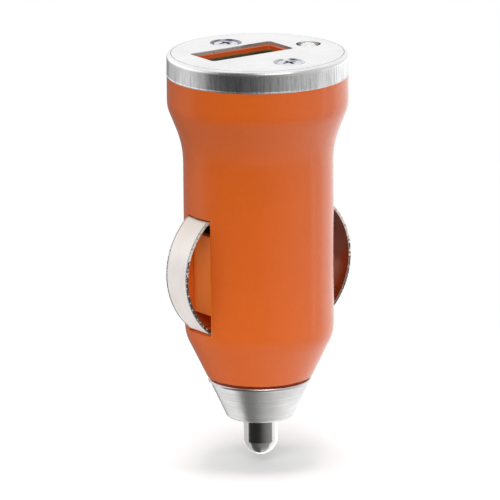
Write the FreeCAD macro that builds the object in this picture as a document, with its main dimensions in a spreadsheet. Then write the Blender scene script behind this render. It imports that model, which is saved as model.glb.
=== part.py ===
import FreeCAD, Part

# Car charger plug for a 12 V vehicle socket, with one USB port, in millimetres.
#
# The plug's axis is Z, with the cap at the top and the sprung pin at the bottom.
# The origin is on the axis at the upper end of the straight barrel, where the
# socket's mouth lies. X runs across the two side contacts and along the port,
# and Y runs across the port, with the USB contacts on the +Y side of the tongue.

import math
import os
import re

import Sketcher

# Driving sizes: name, value or formula, meaning
SIZES = (
    ("cap_top", "15.2", "height of the cap's flat top over the origin"),
    ("cap_radius", "12.2", "outer radius of the cap"),
    ("cap_height", "3.0", "height of the cap, from its top to its lower edge"),
    ("cap_sheet", "0.5", "thickness of the cap's sheet"),
    ("cap_rim_round", "0.6", "outer rounding of the cap's rim"),
    ("cap_gap", "0.1", "radial gap between the cap and the housing's spigot"),
    ("cap_edge", "=cap_top - cap_height", "height of the cap's lower edge"),
    ("cap_under", "=cap_top - cap_sheet", "height of the cap's underside"),
    ("port_x", "-1.35", "middle of the port along X"),
    ("port_y", "1.75", "middle of the port along Y"),
    ("port_length", "12.6", "length of the port's well along X"),
    ("port_width", "5.1", "width of the port's well along Y"),
    ("port_depth", "12.4", "depth of the port's well under the cap's top"),
    ("port_corner", "0.6", "corner radius of the port's well"),
    ("port_border", "0.3", "how much wider the cap's opening is on each side"),
    ("port_floor", "=cap_top - port_depth", "height of the floor of the port's well"),
    ("shell_sheet", "0.3", "thickness of the port's metal shell"),
    ("shell_gap", "0.05", "gap between the port's shell and its seat"),
    ("shell_set_back", "1.25", "how far the port's shell lies under the cap's top"),
    ("shell_top", "=cap_top - shell_set_back", "height of the top of the port's shell"),
    ("shell_foot_rise", "1.6", "how far the ledge under the shell stands over the well's floor"),
    ("shell_foot", "=port_floor + shell_foot_rise", "height of the lower end of the port's shell"),
    ("insert_wall", "0.9", "wall of the port insert's well"),
    ("boss_radius", "1.9", "radius of a screw boss"),
    ("boss_gap", "0.3", "gap between a screw boss and the port insert's well"),
    ("screw_offset", "=port_y + port_width / 2 + insert_wall + boss_gap + boss_radius",
     "distance of each screw from the axis, along Y"),
    ("dimple_radius", "2.15", "radius of a screw's dimple at the cap's top"),
    ("dimple_depth", "0.6", "depth of a screw's dimple"),
    ("dimple_draw", "0.35", "how much a dimple narrows towards its floor"),
    ("head_radius", "1.65", "radius of a screw's head"),
    ("head_height", "0.6", "height of a screw's head"),
    ("head_dome_height", "0.12", "rise of a screw's domed head"),
    ("recess_length", "2.0", "length of each arm pair of the cross recess"),
    ("recess_width", "0.5", "width of an arm of the cross recess"),
    ("recess_depth", "0.5", "depth of the cross recess"),
    ("shank_radius", "0.95", "radius of a screw's shank"),
    ("shank_tip_radius", "0.38", "radius of the end of a screw's shank"),
    ("shank_length", "5.6", "length of a screw's shank"),
    ("shank_gap", "0.05", "radial gap between a screw's shank and its boss"),
    ("screw_gap", "0.15", "radial gap between a screw's shank and the sheets"),
    ("lamp_radius", "1.5", "radius of the lamp"),
    ("lamp_rim_radius", "1.7", "radius of the lamp's rim"),
    ("lamp_top_flat", "0.03", "radius of the flat on top of the lamp's dome"),
    ("lamp_rim_height", "0.9", "height of the lamp's rim"),
    ("lamp_length", "5.4", "length of the lamp"),
    ("lamp_rise", "0.2", "how far the lamp stands out of the cap"),
    ("lamp_gap", "0.18", "radial gap between the lamp and the cap's hole"),
    ("lamp_base", "=cap_top + lamp_rise - lamp_length", "height of the lamp's base"),
    ("lead_size", "0.45", "side of a lamp lead's square section"),
    ("lead_spacing", "2.54", "distance between the lamp's leads"),
    ("lead_jog_height", "7.0", "height at which the leads turn to the board"),
    ("lead_reach", "1.6", "how far the leads run down beside the board"),
    ("flange_wall", "1.6", "wall of the housing's flange"),
    ("flange_height", "4.2", "height of the flange below the cap, down to the flare"),
    ("flange_corner", "=cap_edge - flange_height",
     "height where the flange and the flare would meet"),
    ("flange_round", "4.2", "rounding between the flange and the flare"),
    ("flare_corner", "2.67", "height where the flare and the barrel would meet"),
    ("flare_round", "13.0", "rounding between the flare and the barrel"),
    ("barrel_radius", "10.1", "outer radius of the barrel"),
    ("barrel_land_end", "-5.0", "height where the barrel's straight land ends"),
    ("barrel_draft", "0.05", "how much the barrel narrows below its land, for the mould"),
    ("barrel_foot_radius", "=barrel_radius - barrel_draft",
     "outer radius of the barrel where the cone starts"),
    ("barrel_wall", "1.4", "wall of the barrel and the cone"),
    ("barrel_inner", "=barrel_radius - barrel_wall", "inner radius of the barrel"),
    ("cone_corner", "-23.35", "height where the barrel and the cone would meet"),
    ("cone_round", "5.0", "rounding between the barrel and the cone"),
    ("cone_angle", "26.0", "half angle of the cone, in degrees"),
    ("cone_end", "-29.3", "height of the cone's lower end"),
    ("cone_edge_round", "0.2", "rounding of the cone's lower edge"),
    ("cone_radius", "=barrel_foot_radius - (cone_corner - cone_end) * tan(cone_angle)",
     "radius of the cone's lower end"),
    ("spigot_radius", "=cap_radius - cap_sheet - cap_gap", "radius of the spigot in the cap"),
    ("spigot_gap", "0.3", "gap between the spigot's top and the cap's underside"),
    ("mouth_radius", "=cap_radius - flange_wall", "inner radius of the housing's mouth"),
    ("mouth_depth", "9.4", "height where the mouth starts to narrow"),
    ("lamp_room_share", "0.6",
     "share of the lamp's spare room that lies between it and the port insert"),
    ("insert_side_x", "=port_x + port_length / 2 + insert_wall",
     "side of the port insert's well, along X"),
    ("lamp_nearest_x", "=insert_side_x + lamp_rim_radius",
     "least distance of the lamp from the axis, along X"),
    ("lamp_x", "=lamp_nearest_x + lamp_room_share * (mouth_radius - lamp_rim_radius"
     " - lamp_nearest_x)", "distance of the lamp from the axis, along X"),
    ("throat_wall", "1.0", "wall of the housing beside the lower end of the port"),
    ("throat_radius", "=barrel_radius - throat_wall",
     "inner radius beside the lower end of the port"),
    ("throat_top", "3.2", "height where the throat starts"),
    ("throat_end", "0.4", "height where the throat steps in to the barrel"),
    ("throat_step", "0.6", "height of the sloped step under the throat"),
    ("insert_gap", "0.2", "radial gap between the port insert and the housing"),
    ("insert_plate", "1.6", "thickness of the port insert's plate"),
    ("insert_floor", "1.0", "thickness of the floor of the well"),
    ("insert_under", "=port_floor - insert_floor", "height of the port insert's lower end"),
    ("plate_under", "=cap_under - insert_plate", "height of the plate's underside"),
    ("boss_end", "3.4", "height of a screw boss's lower end"),
    ("rib_width", "1.2", "thickness of the rib that ties a boss to the wall"),
    ("rib_root", "0.5", "how far a rib runs into the wall"),
    ("screw_bore_depth", "6.5", "depth of the bore in a screw boss"),
    ("strip_width", "4.7", "width of a side contact"),
    ("strip_sheet", "0.4", "thickness of a side contact"),
    ("strip_gap", "0.25", "gap between a side contact and its pocket"),
    ("strip_middle", "-14.0", "height of a side contact's crest"),
    ("bow_rise", "3.45", "how far a side contact's crest stands out of the barrel"),
    ("bow_peak", "=barrel_radius + bow_rise",
     "distance of a side contact's crest from the axis"),
    ("bow_radius", "10.0", "outer radius of a side contact's bow"),
    ("bow_angle", "46.0", "half angle of a side contact's bow, in degrees"),
    ("bow_apex", "=bow_peak - bow_radius + bow_radius / cos(bow_angle)",
     "where the two end tangents of the bow meet, along X"),
    ("bow_foot_depth", "0.4", "how far the bow's foot lies inside the barrel's surface"),
    ("bow_foot", "=barrel_radius - bow_foot_depth",
     "where the bow turns into its free leg, along X"),
    ("bow_head", "=barrel_radius", "where the bow turns into its upper leg, along X"),
    ("bow_foot_round", "0.9", "outer rounding between the bow and a leg"),
    ("bow_inner_apex", "=bow_apex - strip_sheet / cos(bow_angle)",
     "where the inner tangents of the bow meet, along X"),
    ("leg_top", "=strip_middle + (bow_apex - bow_head) / tan(bow_angle)",
     "height of the upper leg's outer face"),
    ("leg_end", "=strip_middle - (bow_apex - bow_foot) / tan(bow_angle)",
     "height of the free leg's outer face"),
    ("tab_depth", "2.6", "depth of the solder tab's inner face in the barrel"),
    ("tab_x", "=barrel_radius - tab_depth",
     "inner face of the side contact's solder tab, along X"),
    ("tab_round", "0.8", "rounding between a side contact's leg and its tab"),
    ("tab_length", "2.8", "length of the side contact's solder tab"),
    ("tip_depth", "1.2", "depth of the free leg's inner end in the barrel"),
    ("tip_x", "=barrel_radius - tip_depth",
     "inner end of a side contact's free leg, along X"),
    ("pocket_depth", "1.1", "depth of the pocket that a side contact presses into"),
    ("pocket_floor", "=barrel_radius - pocket_depth", "distance of a pocket's floor, along X"),
    ("pocket_top", "=leg_top + strip_gap", "height of a pocket's upper end"),
    ("pocket_end", "=leg_end - strip_gap", "height of a pocket's lower end"),
    ("window_height", "2.6", "height of the window at a pocket's upper end"),
    ("press_travel", "3.5", "how far a side contact moves in"),
    ("slot_room", "0.3", "room between a pressed free leg and the end of its slot"),
    ("slot_floor", "=tip_x - press_travel - slot_room",
     "distance of the end of the free leg's slot, along X"),
    ("slot_height", "2.6", "height of the free leg's slot"),
    ("slot_wall", "0.8", "wall round the free leg's slot"),
    ("slot_root", "0.4", "how far the slot's walls run into the barrel's wall"),
    ("bridge_depth", "0.8", "how far the pocket's floor stands into the barrel"),
    ("nose_gap", "0.4", "groove between the cone and the nose ring"),
    ("nose_land", "0.6", "how far the groove is set in from the nose ring's edge"),
    ("nose_top", "=cone_end - nose_gap", "height of the nose ring's top"),
    ("nose_height", "5.4", "height of the nose ring"),
    ("nose_end", "=nose_top - nose_height", "height of the nose ring's lower end"),
    ("nose_radius", "=cone_radius - nose_gap * tan(cone_angle)",
     "outer radius of the nose ring's top"),
    ("nose_end_radius", "4.45", "outer radius of the nose ring's lower end"),
    ("nose_rim_round", "0.25", "rounding of the nose ring's upper edge"),
    ("nose_edge_round", "0.6", "rounding of the nose ring's lower edge"),
    ("nose_lip", "1.2", "thickness of the nose ring's inner lip"),
    ("neck_radius", "4.6", "radius of the housing's neck inside the nose ring"),
    ("neck_length", "3.6", "length of the neck below the cone"),
    ("neck_gap", "0.05", "radial gap between the neck and the nose ring"),
    ("neck_end_gap", "0.2", "gap between the neck's end and the nose ring"),
    ("neck_bore", "3.4", "radius of the bore that guides the pin's collar"),
    ("pin_radius", "2.3", "radius of the centre pin"),
    ("pin_reach", "5.3", "how far the centre pin stands out of the nose ring"),
    ("pin_dome_height", "1.95", "height of the centre pin's domed tip"),
    ("pin_gap", "0.05", "radial gap between the pin and the nose ring"),
    ("collar_radius", "3.3", "radius of the pin's collar"),
    ("collar_height", "1.2", "height of the pin's collar"),
    ("collar_gap", "0.05", "gap between the pin's collar and the nose ring's lip"),
    ("stem_radius", "1.6", "radius of the pin's stem inside the spring"),
    ("stem_length", "1.95", "length of the pin's stem"),
    ("lip_top", "=nose_end + nose_lip", "height of the top of the nose ring's lip"),
    ("collar_top", "=lip_top + collar_gap + collar_height", "height of the collar's top"),
    ("seat_under", "-25.3", "height of the spring seat's underside"),
    ("seat_sheet", "0.6", "thickness of the spring seat's flange"),
    ("seat_radius", "4.2", "radius of the spring seat's flange"),
    ("pilot_radius", "1.9", "radius of the spring seat's pilot"),
    ("pilot_length", "1.2", "length of the spring seat's pilot"),
    ("prong_width", "2.0", "width of a prong of the spring seat"),
    ("prong_sheet", "0.5", "thickness of a prong of the spring seat"),
    ("prong_length", "2.5", "length of a prong of the spring seat"),
    ("wire_radius", "0.25", "radius of the spring's wire"),
    ("coil_radius", "2.55", "mean radius of the spring"),
    ("coil_turns", "5.0", "turns of the spring"),
    ("coil_end_gap", "0.02", "gap between the spring's ends and what they bear on"),
    ("board_thickness", "1.2", "thickness of the circuit board"),
    ("board_face", "=board_thickness / 2", "distance of each face of the board from the axis"),
    ("board_edge_gap", "0.2", "gap between the board's edge and a side contact's tab"),
    ("board_half", "=tab_x - board_edge_gap", "half of the board's width"),
    ("board_slot_gap", "0.3", "gap between the board's lower end and the walls of the slots"),
    ("board_tail_half", "=slot_floor - slot_wall - board_slot_gap",
     "half of the width of the board's lower end"),
    ("lead_room_share", "0.7241",
     "share of the board's width outside the well that lies inside the leads"),
    ("lead_board_x", "=insert_side_x + lead_room_share * (board_half - insert_side_x)",
     "distance of the leads from the axis beside the board"),
    ("board_tail_top", "=pocket_end + slot_height + slot_wall + board_slot_gap",
     "height where the board narrows"),
    ("board_corner", "0.8", "rounding of the board's corners"),
    ("board_end", "=seat_under + seat_sheet", "height of the board's lower end"),
    ("tongue_length", "8.38", "width of the USB tongue along X"),
    ("tongue_thickness", "1.84", "thickness of the USB tongue along Y"),
    ("tongue_y", "0.55", "middle of the USB tongue along Y"),
    ("tongue_set_back", "0.65", "how far the tongue's end lies under the cap's top"),
    ("tongue_chamfer", "0.3", "chamfer of the tongue's end"),
    ("tongue_fit", "0.1", "gap between the tongue and the floor of the well"),
    ("tongue_face", "=tongue_y + tongue_thickness / 2", "face of the tongue with the contacts"),
    ("block_length", "11.0", "length of the tongue's block along X"),
    ("block_width", "4.4", "width of the tongue's block along Y"),
    ("block_y", "0.9", "middle of the tongue's block along Y"),
    ("block_height", "2.6", "height of the tongue's block"),
    ("block_under", "=insert_under - block_height", "height of the block's underside"),
    ("contact_width", "1.0", "width of a USB contact"),
    ("contact_sheet", "0.25", "thickness of a USB contact"),
    ("contact_seat", "0.02", "gap between a USB contact and what it lies on"),
    ("contact_inner_offset", "1.0", "offset of the two inner contacts from the middle"),
    ("contact_outer_offset", "3.5", "offset of the two outer contacts from the middle"),
    ("contact_bow", "0.5", "how far a USB contact bows out from the tongue"),
    ("contact_end_gap", "0.4", "how far a USB contact ends under the tongue's end"),
    ("contact_flat_length", "3.2", "length of a contact's flat part over the well's floor"),
    ("contact_crest_depth", "3.2", "how far under its end a contact's crest starts"),
    ("contact_crest_length", "0.64", "length of the flat crest of a contact"),
    ("contact_tail", "2.4", "length of a USB contact's tail on the board"),
    ("jog_start", "0.65", "how far over the block's underside a contact's jog starts"),
    ("jog_end", "1.7", "how far over the block's underside a contact's jog ends"),
    ("channel_gap", "0.1", "gap around a USB contact in the block"),
    ("chip_seat", "0.02", "gap between a component and the board"),
    ("chip_length", "4.9", "length of the converter chip along Z"),
    ("chip_width", "3.9", "width of the converter chip along X"),
    ("chip_height", "1.4", "thickness of the converter chip"),
    ("chip_lift", "0.15", "gap under the converter chip's body"),
    ("chip_pitch", "1.27", "distance between the converter chip's legs"),
    ("chip_reach", "1.05", "how far the legs stand out of the chip"),
    ("chip_leg_width", "0.42", "width of a leg of the converter chip"),
    ("chip_leg_sheet", "0.2", "thickness of a leg of the converter chip"),
    ("chip_z", "-15.6", "height of the middle of the converter chip"),
    ("drum_radius", "3.0", "radius of the inductor's drum"),
    ("drum_height", "3.6", "height of the inductor's drum off the board"),
    ("drum_flange", "0.7", "thickness of each flange of the drum"),
    ("drum_waist", "1.5", "radius of the drum's waist"),
    ("winding_radius", "2.7", "outer radius of the inductor's winding"),
    ("winding_gap", "0.03", "gap between the winding and the drum"),
    ("drum_z", "-8.2", "height of the middle of the inductor"),
    ("can_radius", "2.5", "radius of a capacitor's can"),
    ("can_length", "7.0", "length of a capacitor's can"),
    ("can_groove", "0.25", "depth of the groove rolled into the can"),
    ("can_groove_rise", "1.1", "height of the groove over the can's base"),
    ("can_edge_round", "0.4", "rounding of the can's closed end"),
    ("can_lead_offset", "1.0", "offset of each lead from the middle of the can"),
    ("can_lead_drop", "1.1", "how far a lead runs below the can"),
    ("can_x", "3.0", "distance of each capacitor from the axis, along X"),
    ("can_base", "-16.4", "height of the base of each can"),
    ("wire_size", "0.45", "side of a component's lead"),
    ("diode_length", "4.3", "length of the diode along Z"),
    ("diode_width", "2.6", "width of the diode along X"),
    ("diode_height", "2.1", "thickness of the diode"),
    ("diode_tab", "0.5", "how far a tab stands out of each end of the diode"),
    ("diode_tab_width", "1.4", "width of a tab of the diode"),
    ("diode_gap", "0.9", "gap between the converter chip's legs and the diode"),
    ("diode_x", "=chip_width / 2 + chip_reach + diode_gap + diode_width / 2",
     "distance of the diode from the axis, along X"),
    ("fuse_length", "3.2", "length of the fuse along Z"),
    ("fuse_width", "1.6", "width of the fuse along X"),
    ("fuse_height", "0.9", "thickness of the fuse"),
    ("fuse_waist", "0.12", "how far the fuse's end caps stand out of its middle"),
    ("fuse_cap", "0.6", "length of each end cap of the fuse"),
    ("fuse_z", "-19.9", "height of the middle of the fuse"),
    ("resistor_length", "1.6", "length of a chip resistor along X"),
    ("resistor_width", "0.8", "width of a chip resistor along Z"),
    ("resistor_height", "0.45", "thickness of a chip resistor"),
    ("resistor_edge_distance", "1.7", "distance of the chip resistors from the board's edge"),
    ("resistor_x", "=resistor_edge_distance - board_half",
     "middle of the chip resistors along X"),
    ("resistor_z", "-5.0", "height of the uppermost chip resistor"),
    ("resistor_pitch", "2.1", "distance between chip resistors"),
    ("ceramic_length", "2.0", "length of a chip capacitor along Z"),
    ("ceramic_width", "1.25", "width of a chip capacitor along X"),
    ("ceramic_height", "0.9", "thickness of a chip capacitor"),
    ("ceramic_edge_distance", "1.9", "distance of the chip capacitors from the board's edge"),
    ("ceramic_x", "=board_half - ceramic_edge_distance",
     "middle of the chip capacitors along X"),
    ("ceramic_z", "-5.6", "height of the upper chip capacitor"),
    ("ceramic_pitch", "3.2", "distance between chip capacitors"),
    ("cut_overrun", "0.5", "how far a cut runs past the surface that it opens"),
)

# Sides of the board on which a component sits, by the sign of Y
FRONT, BACK = -1, 1

# How many of each small chip the board carries
RESISTORS = 4
CERAMICS = 2
CHIP_LEGS = 4

DOC = FreeCAD.newDocument("charger_plug")
SHEET = DOC.addObject("Spreadsheet::Sheet", "Sizes")
ALIASES = set()


def fill_sheet():
    """Write every driving size into the sheet, with its name and meaning."""
    for row, (alias, text, meaning) in enumerate(SIZES, start=1):
        SHEET.set(f"A{row}", alias)
        SHEET.set(f"B{row}", text)
        SHEET.set(f"C{row}", meaning)
        SHEET.setAlias(f"B{row}", alias)
        ALIASES.add(alias)
    DOC.recompute()


def bound(text):
    """Lead each size's name in a formula by the sheet's name, for other objects."""
    return re.sub(
        r"[a-z_]\w*",
        lambda found: f"Sizes.{found[0]}" if found[0] in ALIASES else found[0],
        text,
    )


def value(text):
    """Work out a formula over the sheet."""
    return float(SHEET.evalExpression(text))


def body(label):
    """Start a sub-part."""
    made = DOC.addObject("PartDesign::Body", label)
    made.Label = label
    return made


def plane(owner, role):
    """Find one of a body's own origin planes."""
    return next(f for f in owner.Origin.OriginFeatures if f.Role == role)


def sketch(owner, name, role, offset="0"):
    """Start a sketch on one of the body's origin planes, moved along its normal."""
    made = owner.newObject("Sketcher::SketchObject", name)
    made.AttachmentSupport = [(plane(owner, role), "")]
    made.MapMode = "FlatFace"
    made.setExpression("AttachmentOffset.Base.z", bound(offset))
    return made


def fix_point(target, geometry, end, across, up):
    """Hold a point of a sketch at two formulas."""
    for kind, text in (("DistanceX", across), ("DistanceY", up)):
        index = target.addConstraint(
            Sketcher.Constraint(kind, -1, 1, geometry, end, value(text))
        )
        target.setExpression(f"Constraints[{index}]", bound(text))


def outline(target, corners):
    """Draw a closed outline through corners (across, up) or (across, up, round).

    A rounded corner is an arc tangent to its two sides, and its corner is kept
    as a construction point on both of them.
    """
    spots = [FreeCAD.Vector(value(c[0]), value(c[1]), 0) for c in corners]
    count = len(corners)
    starts, ends, arcs = list(spots), list(spots), {}
    for i, corner in enumerate(corners):
        if len(corner) < 3:
            continue
        radius = value(corner[2])
        back = (spots[i - 1] - spots[i]).normalize()
        ahead = (spots[(i + 1) % count] - spots[i]).normalize()
        half = back.getAngle(ahead) / 2
        reach = radius / math.tan(half)
        ends[i] = spots[i] + back * reach
        starts[i] = spots[i] + ahead * reach
        centre = spots[i] + (back + ahead).normalize() * (radius / math.sin(half))
        left_turn = (ahead.cross(back)).z > 0
        first, last = (ends[i], starts[i]) if left_turn else (starts[i], ends[i])
        angles = [math.atan2(p.y - centre.y, p.x - centre.x) for p in (first, last)]
        circle = Part.Circle(centre, FreeCAD.Vector(0, 0, 1), radius)
        arcs[i] = (Part.ArcOfCircle(circle, *angles), left_turn, corner[2], radius)
    sides = [
        target.addGeometry(Part.LineSegment(starts[i], ends[(i + 1) % count]))
        for i in range(count)
    ]
    for i, corner in enumerate(corners):
        before, after = sides[i - 1], sides[i]
        if i not in arcs:
            target.addConstraint(Sketcher.Constraint("Coincident", before, 2, after, 1))
            fix_point(target, after, 1, corner[0], corner[1])
            continue
        arc, left_turn, text, radius = arcs[i]
        drawn = target.addGeometry(arc)
        first, last = (1, 2) if left_turn else (2, 1)
        target.addConstraint(Sketcher.Constraint("Tangent", before, 2, drawn, first))
        target.addConstraint(Sketcher.Constraint("Tangent", after, 1, drawn, last))
        index = target.addConstraint(Sketcher.Constraint("Radius", drawn, radius))
        target.setExpression(f"Constraints[{index}]", bound(text))
        point = target.addGeometry(Part.Point(spots[i]), True)
        fix_point(target, point, 1, corner[0], corner[1])
        target.addConstraint(Sketcher.Constraint("PointOnObject", point, 1, before))
        target.addConstraint(Sketcher.Constraint("PointOnObject", point, 1, after))


def circle(target, across, up, radius):
    """Draw a circle at a point given by formulas."""
    middle = FreeCAD.Vector(value(across), value(up), 0)
    normal = FreeCAD.Vector(0, 0, 1)
    drawn = target.addGeometry(Part.Circle(middle, normal, value(radius)))
    fix_point(target, drawn, 3, across, up)
    index = target.addConstraint(Sketcher.Constraint("Radius", drawn, value(radius)))
    target.setExpression(f"Constraints[{index}]", bound(radius))


def box_corners(across, up, length, width, rounding=None):
    """Corners of a rectangle about a middle, counter-clockwise."""
    extra = (rounding,) if rounding else ()
    signs = ((-1, -1), (1, -1), (1, 1), (-1, 1))
    return [
        (f"({across}) + {a} * ({length}) / 2", f"({up}) + {b} * ({width}) / 2", *extra)
        for a, b in signs
    ]


def band_corners(width, low, high):
    """Corners of a rectangle about the vertical axis, between two heights."""
    return box_corners("0", f"({low} + {high}) / 2", width, f"{high} - ({low})")


def feature(owner, kind, name, profile, **settings):
    """Add a sketch-based feature, with formulas for its sizes."""
    made = owner.newObject(f"PartDesign::{kind}", name)
    made.Profile = (profile, [""])
    for key, text in settings.items():
        if key in ("SideType", "Reversed"):
            setattr(made, key, text)
        else:
            made.setExpression(key, bound(text))
    profile.Visibility = False
    return made


def turned(owner, kind, name, corners, role="XZ_Plane"):
    """Turn an outline in the XZ plane about the body's Z axis."""
    profile = sketch(owner, f"{name}_outline", role)
    outline(profile, corners)
    made = owner.newObject(f"PartDesign::{kind}", name)
    made.Profile = (profile, [""])
    made.ReferenceAxis = (profile, ["V_Axis"])
    made.Angle = 360
    return made


def mirrored(owner, name, originals, role):
    """Repeat features on the other side of an origin plane."""
    made = owner.newObject("PartDesign::Mirrored", name)
    made.Originals = originals
    made.MirrorPlane = (plane(owner, role), [""])
    owner.Tip = made
    return made


def move(target, x="0", y="0", z="0"):
    """Place a sub-part by formulas."""
    for axis, text in zip("xyz", (x, y, z)):
        target.setExpression(f"Placement.Base.{axis}", bound(text))


def make_cap():
    """Pressed cap: flat top, rounded rim, skirt, dimples, port and lamp holes."""
    cap = body("cap")
    turned(cap, "Revolution", "cap_shell", [
        ("0", "cap_under"),
        ("cap_radius - cap_sheet", "cap_under"),
        ("cap_radius - cap_sheet", "cap_edge"),
        ("cap_radius", "cap_edge"),
        ("cap_radius", "cap_top", "cap_rim_round"),
        ("0", "cap_top"),
    ])
    floor = "dimple_radius - dimple_draw"
    cups = [
        dimple(cap, "Additive", "dimple_cup", "cap_under", f"{floor} + cap_sheet",
               "dimple_radius + cap_sheet"),
        dimple(cap, "Subtractive", "dimple_hollow", "cap_top", floor, "dimple_radius"),
    ]
    hole = sketch(cap, "screw_hole_outline", "XY_Plane", "cap_top")
    circle(hole, "0", "screw_offset", "shank_radius + screw_gap")
    cups.append(feature(cap, "Pocket", "screw_hole", hole,
                        Length="cap_sheet + dimple_depth + cut_overrun"))
    mirrored(cap, "dimples", cups, "XZ_Plane")
    opening = sketch(cap, "port_outline", "XY_Plane", "cap_top")
    outline(opening, box_corners("port_x", "port_y", "port_length + 2 * port_border",
                                 "port_width + 2 * port_border", "port_corner"))
    feature(cap, "Pocket", "port_opening", opening, Length="cap_sheet + cut_overrun")
    lamp = sketch(cap, "lamp_outline", "XY_Plane", "cap_top")
    circle(lamp, "lamp_x", "0", "lamp_radius + lamp_gap")
    feature(cap, "Pocket", "lamp_hole", lamp, Length="cap_sheet + cut_overrun")
    return cap


def dimple(owner, kind, name, top, floor_radius, top_radius):
    """Cone of a screw's dimple, from a level down by the dimple's depth."""
    cone = owner.newObject(f"PartDesign::{kind}Cone", name)
    cone.AttachmentSupport = [(plane(owner, "XY_Plane"), "")]
    cone.MapMode = "FlatFace"
    cone.setExpression("Radius1", bound(floor_radius))
    cone.setExpression("Radius2", bound(top_radius))
    cone.setExpression("Height", bound("dimple_depth"))
    cone.setExpression("AttachmentOffset.Base.y", bound("screw_offset"))
    cone.setExpression("AttachmentOffset.Base.z", bound(f"{top} - dimple_depth"))
    return cone


def make_screw(label, side):
    """Cap screw with a domed head and a cross recess."""
    screw = body(label)
    seat = "cap_top - dimple_depth"
    head = f"{seat} + head_height"
    turned(screw, "Revolution", "screw_form", [
        ("0", f"{seat} - shank_length"),
        ("shank_tip_radius", f"{seat} - shank_length"),
        ("shank_radius", f"{seat} - shank_length + shank_radius"),
        ("shank_radius", seat),
        ("head_radius", seat),
        ("head_radius", f"{head} - head_dome_height", "head_dome_height"),
        ("0", head),
    ])
    recess = sketch(screw, "recess_outline", "XY_Plane", head)
    arm, half = "recess_length / 2", "recess_width / 2"
    outline(recess, [
        (half, half), (arm, half), (arm, f"-{half}"), (half, f"-{half}"),
        (half, f"-{arm}"), (f"-{half}", f"-{arm}"), (f"-{half}", f"-{half}"),
        (f"-{arm}", f"-{half}"), (f"-{arm}", half), (f"-{half}", half),
        (f"-{half}", arm), (half, arm),
    ])
    feature(screw, "Pocket", "cross_recess", recess, Length="recess_depth")
    move(screw, y=f"{side} * screw_offset")
    return screw


def make_lamp():
    """Round lamp with a rim at its base and a domed top, and its two leads."""
    lamp = body("indicator_led")
    turned(lamp, "Revolution", "lamp_form", [
        ("0", "0"),
        ("lamp_rim_radius", "0"),
        ("lamp_rim_radius", "lamp_rim_height"),
        ("lamp_radius", "lamp_rim_height"),
        ("lamp_radius", "lamp_length", "lamp_radius - lamp_top_flat"),
        ("0", "lamp_length"),
    ])
    move(lamp, "lamp_x", "0", "lamp_base")

    jog = "lead_jog_height - lead_size / 2"
    near = "board_face + contact_seat + lead_size / 2"
    low = "block_under - lead_reach"
    bars = []
    for side, tag in ((1, "a"), (-1, "b")):
        wide = f"{side} * lead_spacing / 2"
        close = f"{side} * ({near})"
        bars += [
            bar(f"lead_drop_{tag}", ("lamp_x", wide, "lead_jog_height"),
                ("lead_size", "lead_size", "lamp_base - lead_jog_height")),
            bar(f"lead_jog_{tag}", ("(lamp_x + lead_board_x) / 2", wide, jog),
                ("lamp_x - lead_board_x + lead_size", "lead_size", "lead_size")),
            bar(f"lead_shift_{tag}", ("lead_board_x", f"({wide} + {close}) / 2", jog),
                ("lead_size", f"lead_spacing / 2 - ({near}) + lead_size", "lead_size")),
            bar(f"lead_run_{tag}", ("lead_board_x", close, low),
                ("lead_size", "lead_size", f"lead_jog_height - ({low})")),
        ]
    leads = DOC.addObject("Part::MultiFuse", "led_leads")
    leads.Label = "led_leads"
    leads.Shapes = bars
    leads.Refine = True
    return [lamp, leads]


def bar(name, foot, size):
    """Box whose foot's middle and whose sizes are formulas."""
    made = DOC.addObject("Part::Box", name)
    for key, text in zip(("Length", "Width", "Height"), size):
        made.setExpression(key, bound(text))
    move(made, f"{foot[0]} - ({size[0]}) / 2", f"{foot[1]} - ({size[1]}) / 2", foot[2])
    return made


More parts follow.
